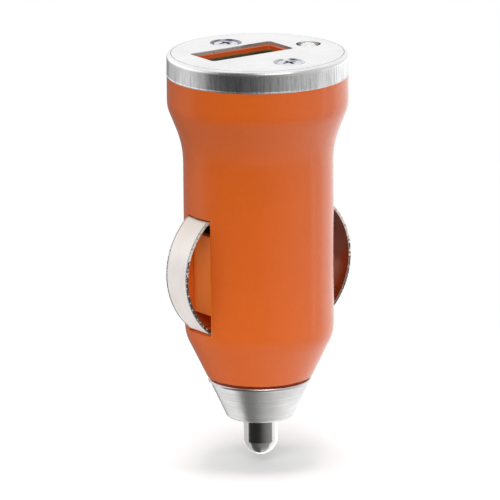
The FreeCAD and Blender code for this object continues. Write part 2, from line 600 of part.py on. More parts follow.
def make_housing():
    """Moulded housing, open at the top, with side pockets and a neck for the nose ring.

    Each pocket opens into the barrel at its upper end, where the side contact's leg
    goes in, and has a blind slot for the free leg at its lower end.
    """
    housing = body("housing")
    inner_shift = "barrel_wall * tan(cone_angle / 2)"
    shelf = f"barrel_inner - (cone_corner + {inner_shift} - seat_under) * tan(cone_angle)"
    land = "nose_radius - nose_land"
    turned(housing, "Revolution", "housing_wall", [
        ("mouth_radius", "cap_under - spigot_gap"),
        ("mouth_radius", "mouth_depth"),
        ("throat_radius", "throat_top"),
        ("throat_radius", "throat_end"),
        ("barrel_inner", "throat_end - throat_step"),
        ("barrel_inner", f"cone_corner + {inner_shift}"),
        (shelf, "seat_under"),
        ("neck_bore", "seat_under"),
        ("neck_bore", "cone_end - neck_length"),
        ("neck_radius", "cone_end - neck_length"),
        ("neck_radius", "nose_top"),
        (land, "nose_top"),
        (land, "cone_end"),
        ("cone_radius", "cone_end", "cone_edge_round"),
        ("barrel_foot_radius", "cone_corner", "cone_round"),
        ("barrel_radius", "barrel_land_end"),
        ("barrel_radius", "flare_corner", "flare_round"),
        ("cap_radius", "flange_corner", "flange_round"),
        ("cap_radius", "cap_edge"),
        ("spigot_radius", "cap_edge"),
        ("spigot_radius", "cap_under - spigot_gap"),
    ])

    boss = sketch(housing, "boss_outline", "XY_Plane", "plate_under")
    circle(boss, "0", "screw_offset", "boss_radius")
    column = feature(housing, "Pad", "boss", boss, Length="plate_under - boss_end", Reversed=True)
    rib = sketch(housing, "rib_outline", "YZ_Plane")
    outline(rib, [
        ("screw_offset", "boss_end"),
        ("throat_radius + rib_root", "boss_end"),
        ("mouth_radius + rib_root", "mouth_depth"),
        ("mouth_radius + rib_root", "plate_under"),
        ("screw_offset", "plate_under"),
    ])
    web = feature(housing, "Pad", "boss_rib", rib, Length="rib_width", SideType="Symmetric")
    bore = sketch(housing, "screw_bore_outline", "XY_Plane", "plate_under")
    circle(bore, "0", "screw_offset", "shank_radius + shank_gap")
    pilot = feature(housing, "Pocket", "screw_bore", bore, Length="screw_bore_depth")
    mirrored(housing, "bosses", [column, web, pilot], "XZ_Plane")

    wide = "strip_width + 2 * strip_gap"
    window_end, slot_top = "pocket_top - window_height", "pocket_end + slot_height"
    bridge = sketch(housing, "bridge_outline", "YZ_Plane", "barrel_inner - bridge_depth")
    outline(bridge, band_corners(wide, slot_top, window_end))
    floor = feature(housing, "Pad", "pocket_floor", bridge,
                    Length="pocket_floor - barrel_inner + bridge_depth")
    block = sketch(housing, "slot_block_outline", "YZ_Plane", "slot_floor - slot_wall")
    outline(block, band_corners(f"{wide} + 2 * slot_wall", "pocket_end - slot_wall",
                                f"{slot_top} + slot_wall"))
    walls = feature(housing, "Pad", "slot_block", block,
                    Length="barrel_inner - slot_root - slot_floor + slot_wall")
    recess = sketch(housing, "pocket_outline", "YZ_Plane", "pocket_floor")
    outline(recess, band_corners(wide, "pocket_end", "pocket_top"))
    hollow = feature(housing, "Pocket", "pocket", recess, Length="pocket_depth + cut_overrun",
                     Reversed=True)
    window = sketch(housing, "window_outline", "YZ_Plane", "barrel_radius / 2")
    outline(window, band_corners(wide, window_end, "pocket_top"))
    opening = feature(housing, "Pocket", "window", window,
                      Length="barrel_radius / 2 + cut_overrun", Reversed=True)
    slot = sketch(housing, "slot_outline", "YZ_Plane", "slot_floor")
    outline(slot, band_corners(wide, "pocket_end", slot_top))
    groove = feature(housing, "Pocket", "slot", slot,
                     Length="pocket_floor - slot_floor + cut_overrun", Reversed=True)
    cuts = [floor, walls, hollow, opening, groove]
    mirrored(housing, "side_pockets", cuts, "YZ_Plane")
    return housing


def make_port_insert():
    """Port insert: plate under the cap with the port's well hanging from it."""
    insert = body("port_insert")
    plate = sketch(insert, "plate_outline", "XY_Plane", "cap_under")
    circle(plate, "0", "0", "mouth_radius - insert_gap")
    feature(insert, "Pad", "plate", plate, Length="insert_plate", Reversed=True)
    shroud = sketch(insert, "shroud_outline", "XY_Plane", "cap_under - insert_plate / 2")
    outline(shroud, box_corners("port_x", "port_y", "port_length + 2 * insert_wall",
                                "port_width + 2 * insert_wall", "port_corner + insert_wall"))
    feature(insert, "Pad", "shroud", shroud, Reversed=True,
            Length="cap_under - insert_plate / 2 - insert_under")
    turned(insert, "Groove", "shroud_trim", [
        ("throat_radius - insert_gap", "insert_under - cut_overrun"),
        ("mouth_radius + cut_overrun", "insert_under - cut_overrun"),
        ("mouth_radius + cut_overrun", "plate_under"),
        ("mouth_radius - insert_gap", "plate_under"),
        ("mouth_radius - insert_gap", "mouth_depth"),
        ("throat_radius - insert_gap", "throat_top"),
    ])
    well = sketch(insert, "well_outline", "XY_Plane", "cap_under")
    outline(well, box_corners("port_x", "port_y", "port_length", "port_width", "port_corner"))
    feature(insert, "Pocket", "well", well, Length="cap_under - port_floor")
    room = "shell_sheet + shell_gap"
    seat = sketch(insert, "shell_seat_outline", "XY_Plane", "shell_top + shell_gap")
    outline(seat, box_corners("port_x", "port_y", f"port_length + 2 * ({room})",
                              f"port_width + 2 * ({room})", f"port_corner + {room}"))
    feature(insert, "Pocket", "shell_seat", seat, Length="shell_top + shell_gap - shell_foot")
    slot = sketch(insert, "tongue_slot_outline", "XY_Plane", "port_floor")
    reach = "contact_seat + contact_sheet"
    outline(slot, box_corners("port_x", f"tongue_y + ({reach}) / 2",
                              "tongue_length + 2 * tongue_fit",
                              f"tongue_thickness + 2 * tongue_fit + {reach}"))
    feature(insert, "Pocket", "tongue_slot", slot, Length="insert_floor + cut_overrun")
    sink = sketch(insert, "sink_outline", "XY_Plane", "cap_under")
    circle(sink, "0", "screw_offset", "dimple_radius + cap_sheet + tongue_fit")
    sunk = feature(insert, "Pocket", "screw_sink", sink, Length="dimple_depth + contact_seat")
    hole = sketch(insert, "hole_outline", "XY_Plane", "cap_under")
    circle(hole, "0", "screw_offset", "shank_radius + screw_gap")
    drilled = feature(insert, "Pocket", "screw_hole", hole, Length="insert_plate + cut_overrun")
    mirrored(insert, "screw_holes", [sunk, drilled], "XZ_Plane")
    notch = sketch(insert, "lamp_notch_outline", "XY_Plane", "cap_under")
    outline(notch, box_corners("lamp_x + mouth_radius / 2", "0",
                               "mouth_radius + 2 * (lamp_radius + lamp_gap)",
                               "2 * (lamp_radius + lamp_gap)"))
    feature(insert, "Pocket", "lamp_notch", notch, Length="insert_plate + cut_overrun")
    return insert


def make_shell():
    """Metal shell of the USB port: a sheet tube that stands on a ledge in the well."""
    shell = body("usb_shell")
    sheet = sketch(shell, "shell_outline", "XY_Plane", "shell_foot")
    outline(sheet, box_corners("port_x", "port_y", "port_length + 2 * shell_sheet",
                               "port_width + 2 * shell_sheet", "port_corner + shell_sheet"))
    outline(sheet, box_corners("port_x", "port_y", "port_length", "port_width", "port_corner"))
    feature(shell, "Pad", "shell_wall", sheet, Length="shell_top - shell_foot")
    return shell


def make_tongue():
    """USB tongue and its block, moulded in one piece, with a channel for each contact."""
    tongue = body("usb_tongue")
    block = sketch(tongue, "block_outline", "XY_Plane", "block_under")
    outline(block, box_corners("port_x", "block_y", "block_length", "block_width"))
    feature(tongue, "Pad", "block", block, Length="block_height")
    blade = sketch(tongue, "blade_outline", "YZ_Plane", "port_x")
    back = "tongue_y - tongue_thickness / 2"
    end = "cap_top - tongue_set_back"
    outline(blade, [
        (back, "insert_under - cut_overrun"),
        ("tongue_face", "insert_under - cut_overrun"),
        ("tongue_face", f"{end} - tongue_chamfer"),
        ("tongue_face - tongue_chamfer", end),
        (back, end),
    ])
    feature(tongue, "Pad", "blade", blade, Length="tongue_length", SideType="Symmetric")
    for number, offset in enumerate(CONTACTS, start=1):
        channel = sketch(tongue, f"channel_{number}_outline", "YZ_Plane", f"port_x + ({offset})")
        outline(channel, [
            ("board_face + contact_seat - channel_gap", "block_under - cut_overrun"),
            ("tongue_face + contact_seat + contact_sheet + channel_gap", "block_under - cut_overrun"),
            ("tongue_face + contact_seat + contact_sheet + channel_gap", "insert_under + cut_overrun"),
            ("tongue_face", "insert_under + cut_overrun"),
            ("tongue_face", "block_under + jog_end + channel_gap"),
            ("board_face + contact_seat - channel_gap", "block_under + jog_end + channel_gap"),
        ])
        feature(tongue, "Pocket", f"channel_{number}", channel, SideType="Symmetric",
                Length="contact_width + 2 * channel_gap")
    return tongue


CONTACTS = (
    "-contact_outer_offset",
    "-contact_inner_offset",
    "contact_inner_offset",
    "contact_outer_offset",
)


def make_contact(number, offset):
    """USB contact: soldered tail, jog through the block, bowed spring on the tongue."""
    contact = body(f"usb_contact_{number}")
    tail = "board_face + contact_seat"
    face = "tongue_face + contact_seat"
    end = "cap_top - tongue_set_back - contact_end_gap"
    crest = f"{end} - contact_crest_depth"
    path = [
        (tail, "block_under - contact_tail"),
        (tail, "block_under + jog_start"),
        (face, "block_under + jog_end"),
        (face, "port_floor + contact_flat_length"),
        (f"{face} + contact_bow", crest),
        (f"{face} + contact_bow", f"{crest} + contact_crest_length"),
        (face, end),
    ]
    outer = [(f"{across} + contact_sheet", up) for across, up in reversed(path)]
    profile = sketch(contact, f"contact_{number}_outline", "YZ_Plane", f"port_x + ({offset})")
    outline(profile, path + outer)
    feature(contact, "Pad", f"contact_{number}_strip", profile, Length="contact_width",
            SideType="Symmetric")
    return contact


def make_side_contact(label, turn):
    """Side contact: bowed strip with a leg through the window, a solder tab and a free leg."""
    strip = body(label)
    slope = "tan(bow_angle)"
    inner_head = f"bow_inner_apex - (leg_top - strip_sheet - strip_middle) * {slope}"
    inner_foot = f"bow_inner_apex - (strip_middle - leg_end - strip_sheet) * {slope}"
    inner_round = "bow_foot_round - strip_sheet"
    profile = sketch(strip, f"{label}_outline", "XZ_Plane")
    tab_top = "leg_top - strip_sheet + tab_length"
    outline(profile, [
        ("tab_x + strip_sheet", tab_top),
        ("tab_x + strip_sheet", "leg_top", "tab_round - strip_sheet"),
        ("bow_head", "leg_top", "bow_foot_round"),
        ("bow_apex", "strip_middle", "bow_radius"),
        ("bow_foot", "leg_end", "bow_foot_round"),
        ("tip_x", "leg_end"),
        ("tip_x", "leg_end + strip_sheet"),
        (inner_foot, "leg_end + strip_sheet", inner_round),
        ("bow_inner_apex", "strip_middle", "bow_radius - strip_sheet"),
        (inner_head, "leg_top - strip_sheet", inner_round),
        ("tab_x", "leg_top - strip_sheet", "tab_round"),
        ("tab_x", tab_top),
    ])
    feature(strip, "Pad", f"{label}_strip", profile, Length="strip_width", SideType="Symmetric")
    strip.Placement = FreeCAD.Placement(
        FreeCAD.Vector(), FreeCAD.Rotation(FreeCAD.Vector(0, 0, 1), turn)
    )
    return strip


def make_nose_ring():
    """Turned nose ring: cone outside, bore for the neck and lip for the pin inside."""
    ring = body("nose_ring")
    turned(ring, "Revolution", "ring_form", [
        ("neck_radius + neck_gap", "nose_top"),
        ("neck_radius + neck_gap", "cone_end - neck_length - neck_end_gap"),
        ("neck_bore", "cone_end - neck_length - neck_end_gap"),
        ("neck_bore", "lip_top"),
        ("pin_radius + pin_gap", "lip_top"),
        ("pin_radius + pin_gap", "nose_end"),
        ("nose_end_radius", "nose_end", "nose_edge_round"),
        ("nose_radius", "nose_top", "nose_rim_round"),
    ])
    return ring


def make_pin():
    """Turned centre pin: domed tip, collar behind the nose ring's lip, stem in the spring."""
    pin = body("centre_pin")
    tip = "nose_end - pin_reach"
    dome = "(pin_radius * pin_radius / pin_dome_height + pin_dome_height) / 2"
    profile = sketch(pin, "pin_outline", "XZ_Plane")
    centre = FreeCAD.Vector(0, value(f"{tip} + {dome}"), 0)
    shoulder = FreeCAD.Vector(value("pin_radius"), value(f"{tip} + pin_dome_height"), 0)
    radius = value(dome)
    normal = FreeCAD.Vector(0, 0, 1)
    swing = math.atan2(shoulder.y - centre.y, shoulder.x)
    arc = Part.ArcOfCircle(Part.Circle(centre, normal, radius), -math.pi / 2, swing)
    steps = [
        ("pin_radius", f"{tip} + pin_dome_height"),
        ("pin_radius", "lip_top + collar_gap"),
        ("collar_radius", "lip_top + collar_gap"),
        ("collar_radius", "collar_top"),
        ("stem_radius", "collar_top"),
        ("stem_radius", "collar_top + stem_length"),
        ("0", "collar_top + stem_length"),
        ("0", tip),
    ]
    spots = [FreeCAD.Vector(value(a), value(b), 0) for a, b in steps]
    drawn = profile.addGeometry(arc)
    lines = [profile.addGeometry(Part.LineSegment(a, b)) for a, b in zip(spots, spots[1:])]
    for index, (across, up) in enumerate(steps[:-1]):
        fix_point(profile, lines[index], 1, across, up)
        if index:
            profile.addConstraint(
                Sketcher.Constraint("Coincident", lines[index - 1], 2, lines[index], 1)
            )
    fix_point(profile, lines[-1], 2, *steps[-1])
    profile.addConstraint(Sketcher.Constraint("Coincident", drawn, 2, lines[0], 1))
    profile.addConstraint(Sketcher.Constraint("Coincident", drawn, 1, lines[-1], 2))
    profile.addConstraint(Sketcher.Constraint("PointOnObject", drawn, 3, -2))
    form = pin.newObject("PartDesign::Revolution", "pin_form")
    form.Profile = (profile, [""])
    form.ReferenceAxis = (profile, ["V_Axis"])
    form.Angle = 360
    return pin


def make_spring():
    """Coil spring between the pin's collar and the spring seat."""
    coil = DOC.addObject("Part::Helix", "spring_line")
    foot = "collar_top + coil_end_gap + wire_radius"
    rise = "seat_under - collar_top - 2 * (coil_end_gap + wire_radius)"
    coil.setExpression("Radius", bound("coil_radius"))
    coil.setExpression("Height", bound(rise))
    coil.setExpression("Pitch", bound(f"({rise}) / coil_turns"))
    move(coil, z=foot)
    wire = DOC.addObject("Part::Circle", "spring_wire")
    wire.setExpression("Radius", bound("wire_radius"))
    wire.Placement = FreeCAD.Placement(
        FreeCAD.Vector(), FreeCAD.Rotation(FreeCAD.Vector(1, 0, 0), 90)
    )
    wire.setExpression("Placement.Base.x", bound("coil_radius"))
    wire.setExpression("Placement.Base.z", bound(foot))
    spring = DOC.addObject("Part::Sweep", "pin_spring")
    spring.Label = "pin_spring"
    spring.Sections = [wire]
    spring.Spine = (coil, ["Edge1"])
    spring.Solid = True
    spring.Frenet = True
    return spring


def make_spring_seat():
    """Spring seat: flange under the board, pilot in the spring, prongs beside the board."""
    seat = body("spring_seat")
    turned(seat, "Revolution", "seat_form", [
        ("0", "seat_under - pilot_length"),
        ("pilot_radius", "seat_under - pilot_length"),
        ("pilot_radius", "seat_under"),
        ("seat_radius", "seat_under"),
        ("seat_radius", "board_end"),
        ("0", "board_end"),
    ])
    prong = sketch(seat, "prong_outline", "XY_Plane", "board_end")
    outline(prong, box_corners("0", "board_face + contact_seat + prong_sheet / 2",
                               "prong_width", "prong_sheet"))
    one = feature(seat, "Pad", "prong", prong, Length="prong_length")
    mirrored(seat, "prongs", [one], "XZ_Plane")
    return seat


def make_board():
    """Circuit board: full width in the barrel, narrower where it stands on the spring seat."""
    board = body("circuit_board")
    profile = sketch(board, "board_outline", "XZ_Plane")
    outline(profile, [
        ("-board_tail_half", "board_end"),
        ("board_tail_half", "board_end"),
        ("board_tail_half", "board_tail_top", "board_corner"),
        ("board_half", "board_tail_top", "board_corner"),
        ("board_half", "block_under"),
        ("-board_half", "block_under"),
        ("-board_half", "board_tail_top", "board_corner"),
        ("-board_tail_half", "board_tail_top", "board_corner"),
    ])
    feature(board, "Pad", "board_sheet", profile, Length="board_thickness", SideType="Symmetric")
    return board


def on_board(target, side, x, z, rise="0"):
    """Seat a component, built with its foot at Y zero, on one side of the board."""
    turn = 0 if side == BACK else 180
    target.Placement = FreeCAD.Placement(
        FreeCAD.Vector(), FreeCAD.Rotation(FreeCAD.Vector(0, 0, 1), turn)
    )
    move(target, x, f"{side} * (board_face + chip_seat + {rise})", z)


def make_chip():
    """Converter chip: moulded body with a row of bent legs along each side."""
    chip = body("converter_chip")
    block = sketch(chip, "chip_outline", "XZ_Plane", "-chip_lift")
    outline(block, box_corners("0", "0", "chip_width", "chip_length"))
    feature(chip, "Pad", "chip_body", block, Length="chip_height", Reversed=True)
    row_length = f"chip_pitch * {CHIP_LEGS - 1}"
    first = f"-({row_length} + chip_leg_width) / 2"
    legs = sketch(chip, "leg_outline", "XY_Plane", first)
    side, toe = "chip_width / 2", "chip_width / 2 + chip_reach"
    knee = f"{side} + chip_reach / 2"
    high = "chip_lift + chip_height / 2"
    for sign in ("", "-"):
        corners = [
            (f"{sign}({side} - chip_leg_sheet)", high),
            (f"{sign}({knee})", high),
            (f"{sign}({knee})", "chip_leg_sheet"),
            (f"{sign}({toe})", "chip_leg_sheet"),
            (f"{sign}({toe})", "0"),
            (f"{sign}({knee} - chip_leg_sheet)", "0"),
            (f"{sign}({knee} - chip_leg_sheet)", f"{high} - chip_leg_sheet"),
            (f"{sign}({side} - chip_leg_sheet)", f"{high} - chip_leg_sheet"),
        ]
        outline(legs, corners)
    row = feature(chip, "Pad", "legs", legs, Length="chip_leg_width")
    pattern = chip.newObject("PartDesign::LinearPattern", "leg_rows")
    pattern.Originals = [row]
    pattern.Direction = (plane(chip, "Z_Axis"), [""])
    pattern.setExpression("Length", bound(row_length))
    pattern.Occurrences = CHIP_LEGS
    chip.Tip = pattern
    on_board(chip, FRONT, "0", "chip_z")
    return chip


def make_inductor():
    """Inductor: ferrite drum, and the winding around its waist."""
    core = body("inductor_core")
    turned(core, "Revolution", "drum_form", [
        ("0", "0"),
        ("drum_radius", "0"),
        ("drum_radius", "drum_flange"),
        ("drum_waist", "drum_flange"),
        ("drum_waist", "drum_height - drum_flange"),
        ("drum_radius", "drum_height - drum_flange"),
        ("drum_radius", "drum_height"),
        ("0", "drum_height"),
    ], "XY_Plane")
    winding = body("inductor_winding")
    turned(winding, "Revolution", "winding_form", [
        ("drum_waist + winding_gap", "drum_flange + winding_gap"),
        ("winding_radius", "drum_flange + winding_gap"),
        ("winding_radius", "drum_height - drum_flange - winding_gap"),
        ("drum_waist + winding_gap", "drum_height - drum_flange - winding_gap"),
    ], "XY_Plane")
    for made in (core, winding):
        on_board(made, FRONT, "0", "drum_z")
    return [core, winding]


def make_capacitor(label, side):
    """Capacitor lying on the board: grooved can, with two leads bent to the board."""
    can = body(label)
    groove = "can_radius - can_groove"
    turned(can, "Revolution", f"{label}_form", [
        ("0", "0"),
        ("can_radius", "0"),
        ("can_radius", "can_groove_rise - can_groove"),
        (groove, "can_groove_rise"),
        ("can_radius", "can_groove_rise + can_groove"),
        ("can_radius", "can_length", "can_edge_round"),
        ("0", "can_length"),
    ])
    half = "wire_size / 2"
    for sign, tag in (("-", "a"), ("", "b")):
        lead = sketch(can, f"{label}_lead_{tag}", "YZ_Plane", f"{sign}can_lead_offset")
        outline(lead, [
            (half, "wire_size"),
            (f"-{half}", "wire_size"),
            (f"-{half}", "wire_size - can_lead_drop"),
            ("-can_radius", "wire_size - can_lead_drop"),
            ("-can_radius", "-can_lead_drop"),
            (half, "-can_lead_drop"),
        ])
        feature(can, "Pad", f"{label}_wire_{tag}", lead, Length="wire_size",
                SideType="Symmetric")
    on_board(can, BACK, f"{side} * can_x", "can_base", "can_radius")
    return can


def make_diode():
    """Rectifier diode: moulded block with a flat tab at each end."""
    diode = body("rectifier_diode")
    block = sketch(diode, "diode_outline", "XZ_Plane")
    outline(block, box_corners("0", "0", "diode_width", "diode_length"))
    feature(diode, "Pad", "diode_body", block, Length="diode_height", Reversed=True)
    tabs = sketch(diode, "tab_outline", "XZ_Plane")
    outline(tabs, box_corners("0", "0", "diode_tab_width", "diode_length + 2 * diode_tab"))
    feature(diode, "Pad", "diode_tabs", tabs, Length="chip_leg_sheet", Reversed=True)
    on_board(diode, FRONT, "diode_x", "chip_z")
    return diode


def make_fuse():
    """Chip fuse: flat block with an end cap at each end."""
    fuse = body("fuse")
    ends = sketch(fuse, "fuse_outline", "XZ_Plane")
    outline(ends, box_corners("0", "0", "fuse_width", "fuse_length"))
    feature(fuse, "Pad", "fuse_body", ends, Length="fuse_height", Reversed=True)
    waist = sketch(fuse, "waist_outline", "XZ_Plane", "-(fuse_height - fuse_waist)")
    outline(waist, box_corners("0", "0", "fuse_width + 2 * cut_overrun", "fuse_length - 2 * fuse_cap"))
    feature(fuse, "Pocket", "waist", waist, Length="fuse_waist + cut_overrun")
    on_board(fuse, BACK, "0", "fuse_z")
    return fuse


def make_small_chips(label, count, spot, size):
    """Row of identical small chips on the board's front."""
    chips = []
    for number in range(count):
        x, top, pitch = spot
        chip = DOC.addObject("Part::Box", f"{label}_{number + 1}")
        for key, text in zip(("Length", "Width", "Height"), size):
            chip.setExpression(key, bound(text))
        move(chip, f"{x} - ({size[0]}) / 2", f"-(board_face + chip_seat + {size[1]})",
             f"{top} - {number} * {pitch} - ({size[2]}) / 2")
        chips.append(chip)
    group = DOC.addObject("Part::MultiFuse", label)
    group.Label = label
    group.Shapes = chips
    return group


def make_components():
    """Everything that the board carries."""
    made = [make_chip(), make_diode(), make_fuse(), *make_inductor()]
    made += [make_capacitor("input_capacitor", -1), make_capacitor("output_capacitor", 1)]
    made.append(make_small_chips("chip_resistors", RESISTORS,
                                 ("resistor_x", "resistor_z", "resistor_pitch"),
                                 ("resistor_length", "resistor_height", "resistor_width")))
    made.append(make_small_chips("chip_capacitors", CERAMICS,
                                 ("ceramic_x", "ceramic_z", "ceramic_pitch"),
                                 ("ceramic_width", "ceramic_height", "ceramic_length")))
    return made


def main():
    """Build every sub-part, check it and write it to its own file."""
    fill_sheet()
    parts = [make_cap(), make_housing(), make_port_insert(), make_shell(), make_tongue()]
    parts.append(make_nose_ring())
    parts += [make_screw("cap_screw_front", -1), make_screw("cap_screw_rear", 1)]
    parts += make_lamp()
    parts += [make_contact(number, offset) for number, offset in enumerate(CONTACTS, start=1)]
    parts.append(make_side_contact("side_contact_right", 0))
    parts.append(make_side_contact("side_contact_left", 180))
    parts += [make_pin(), make_spring(), make_spring_seat(), make_board(), *make_components()]
    DOC.recompute()
    for made in DOC.Objects:
        if "Invalid" in made.State or "Error" in made.State:
            raise RuntimeError(f"{made.Name} failed: {made.State} {made.getStatusString()}")
    os.makedirs("parts", exist_ok=True)
    for part in parts:
        if part.Shape.isNull() or not part.Shape.isValid():
            raise RuntimeError(f"{part.Label} has no valid shape")
    for part in parts:
        part.Shape.exportStep(f"parts/{part.Label}.step")
        box = part.Shape.BoundBox
        print(f"{part.Label}: {len(part.Shape.Solids)} solid, {part.Shape.Volume:.2f} mm3, "
              f"z {box.ZMin:.2f} to {box.ZMax:.2f}")


main()
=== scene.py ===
import logging
import math
from dataclasses import dataclass
from enum import Enum
from typing import Any, ClassVar, Sequence

import bmesh
import bpy
import numpy as np
from bpy.types import Material, Mesh, Node, NodeSocket, NodeTree, Object, Scene
from mathutils import Matrix, Vector


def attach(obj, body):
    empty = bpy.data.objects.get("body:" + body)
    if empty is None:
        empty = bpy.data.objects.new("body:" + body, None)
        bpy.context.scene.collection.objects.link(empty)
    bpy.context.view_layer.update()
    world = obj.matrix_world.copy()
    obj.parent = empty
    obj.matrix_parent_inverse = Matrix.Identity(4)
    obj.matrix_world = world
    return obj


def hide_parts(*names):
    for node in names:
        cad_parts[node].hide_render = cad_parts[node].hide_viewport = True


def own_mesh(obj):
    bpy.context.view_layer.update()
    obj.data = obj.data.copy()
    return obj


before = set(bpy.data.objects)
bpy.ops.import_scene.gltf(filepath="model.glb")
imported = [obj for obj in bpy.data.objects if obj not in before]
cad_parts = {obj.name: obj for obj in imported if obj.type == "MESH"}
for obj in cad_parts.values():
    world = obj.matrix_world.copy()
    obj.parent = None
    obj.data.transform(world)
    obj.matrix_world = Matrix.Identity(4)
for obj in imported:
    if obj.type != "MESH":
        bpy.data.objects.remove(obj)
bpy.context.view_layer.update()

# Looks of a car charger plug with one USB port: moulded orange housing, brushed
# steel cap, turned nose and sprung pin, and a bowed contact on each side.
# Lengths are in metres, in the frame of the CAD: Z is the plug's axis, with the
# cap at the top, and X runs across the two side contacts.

LOG = logging.getLogger("charger_plug")
MM = 0.001
MICRON = 1e-6
PHOTO_SIDE = 500          # pixels along each side of the photograph
SENSOR = 36.0             # width of the camera's sensor, in millimetres
WELD = 1e-7               # points nearer than this are one point
CREASE = math.radians(35)  # edges sharper than this are not shaded smooth


# Colours and nodes
def linear(code: str) -> tuple[float, float, float, float]:
    """Turn an sRGB colour into the linear values that shaders take.

    Args:
        code: the colour as "#RRGGBB".

    Returns:
        Red, green, blue and an alpha of one.
    """
    shares = [int(code[i:i + 2], 16) / 255 for i in (1, 3, 5)]
    light = [s / 12.92 if s <= 0.04045 else ((s + 0.055) / 1.055) ** 2.4 for s in shares]
    return (light[0], light[1], light[2], 1.0)


def add_node(tree: NodeTree, kind: str, settings: dict[str, Any] | None = None,
             inputs: dict[str | int, Any] | None = None) -> Node:
    """Add a node, set it up and link it.

    Args:
        tree: the node tree to add to.
        kind: Blender's name of the node, without "ShaderNode".
        settings: values of the node's own properties.
        inputs: for each input, by name or number, a number, a colour or a socket to link.

    Returns:
        The new node.
    """
    node = tree.nodes.new(f"ShaderNode{kind}")
    for key, setting in (settings or {}).items():
        setattr(node, key, setting)
    for key, given in (inputs or {}).items():
        if isinstance(given, NodeSocket):
            tree.links.new(given, node.inputs[key])
        else:
            node.inputs[key].default_value = given
    return node


# Finishes
class Grain(Enum):
    """How the marks of a finish run over a surface."""

    EVEN = "the same in every direction, as a mould or a plating bath leaves them"
    RINGS = "round the plug's axis, as a lathe leaves them"
    CAP = "straight across the flat top and upright on the skirt"
    LENGTHWISE = "along the piece's own length, as rolled strip has them"
    TWILL = "two crossed sets of lines, as glass cloth shows under resin"


@dataclass(frozen=True)
class Patch:
    """Upright box within which a finish has another colour and one more change.

    The box's middle and its half lengths are in millimetres. The input is one of the
    surface shader's, and the level is its value inside the box.
    """

    middle_mm: tuple[float, float, float]
    reach_mm: tuple[float, float, float]
    colour: str
    socket: str
    level: float

    def inside(self, tree: NodeTree) -> NodeSocket:
        """Tell the inside of the box from the rest.

        Args:
            tree: the material's node tree.

        Returns:
            1 inside the box and 0 outside it.
        """
        place = add_node(tree, "TexCoord").outputs["Object"]
        parts = add_node(tree, "SeparateXYZ", None, {0: place}).outputs
        inside: Any = 1.0
        for axis, middle, reach in zip("XYZ", self.middle_mm, self.reach_mm):
            within = add_node(tree, "Math", {"operation": "COMPARE"}, {
                0: parts[axis], 1: middle * MM, 2: reach * MM}).outputs[0]
            inside = add_node(tree, "Math", {"operation": "MULTIPLY"},
                              {0: within, 1: inside}).outputs[0]
        return inside


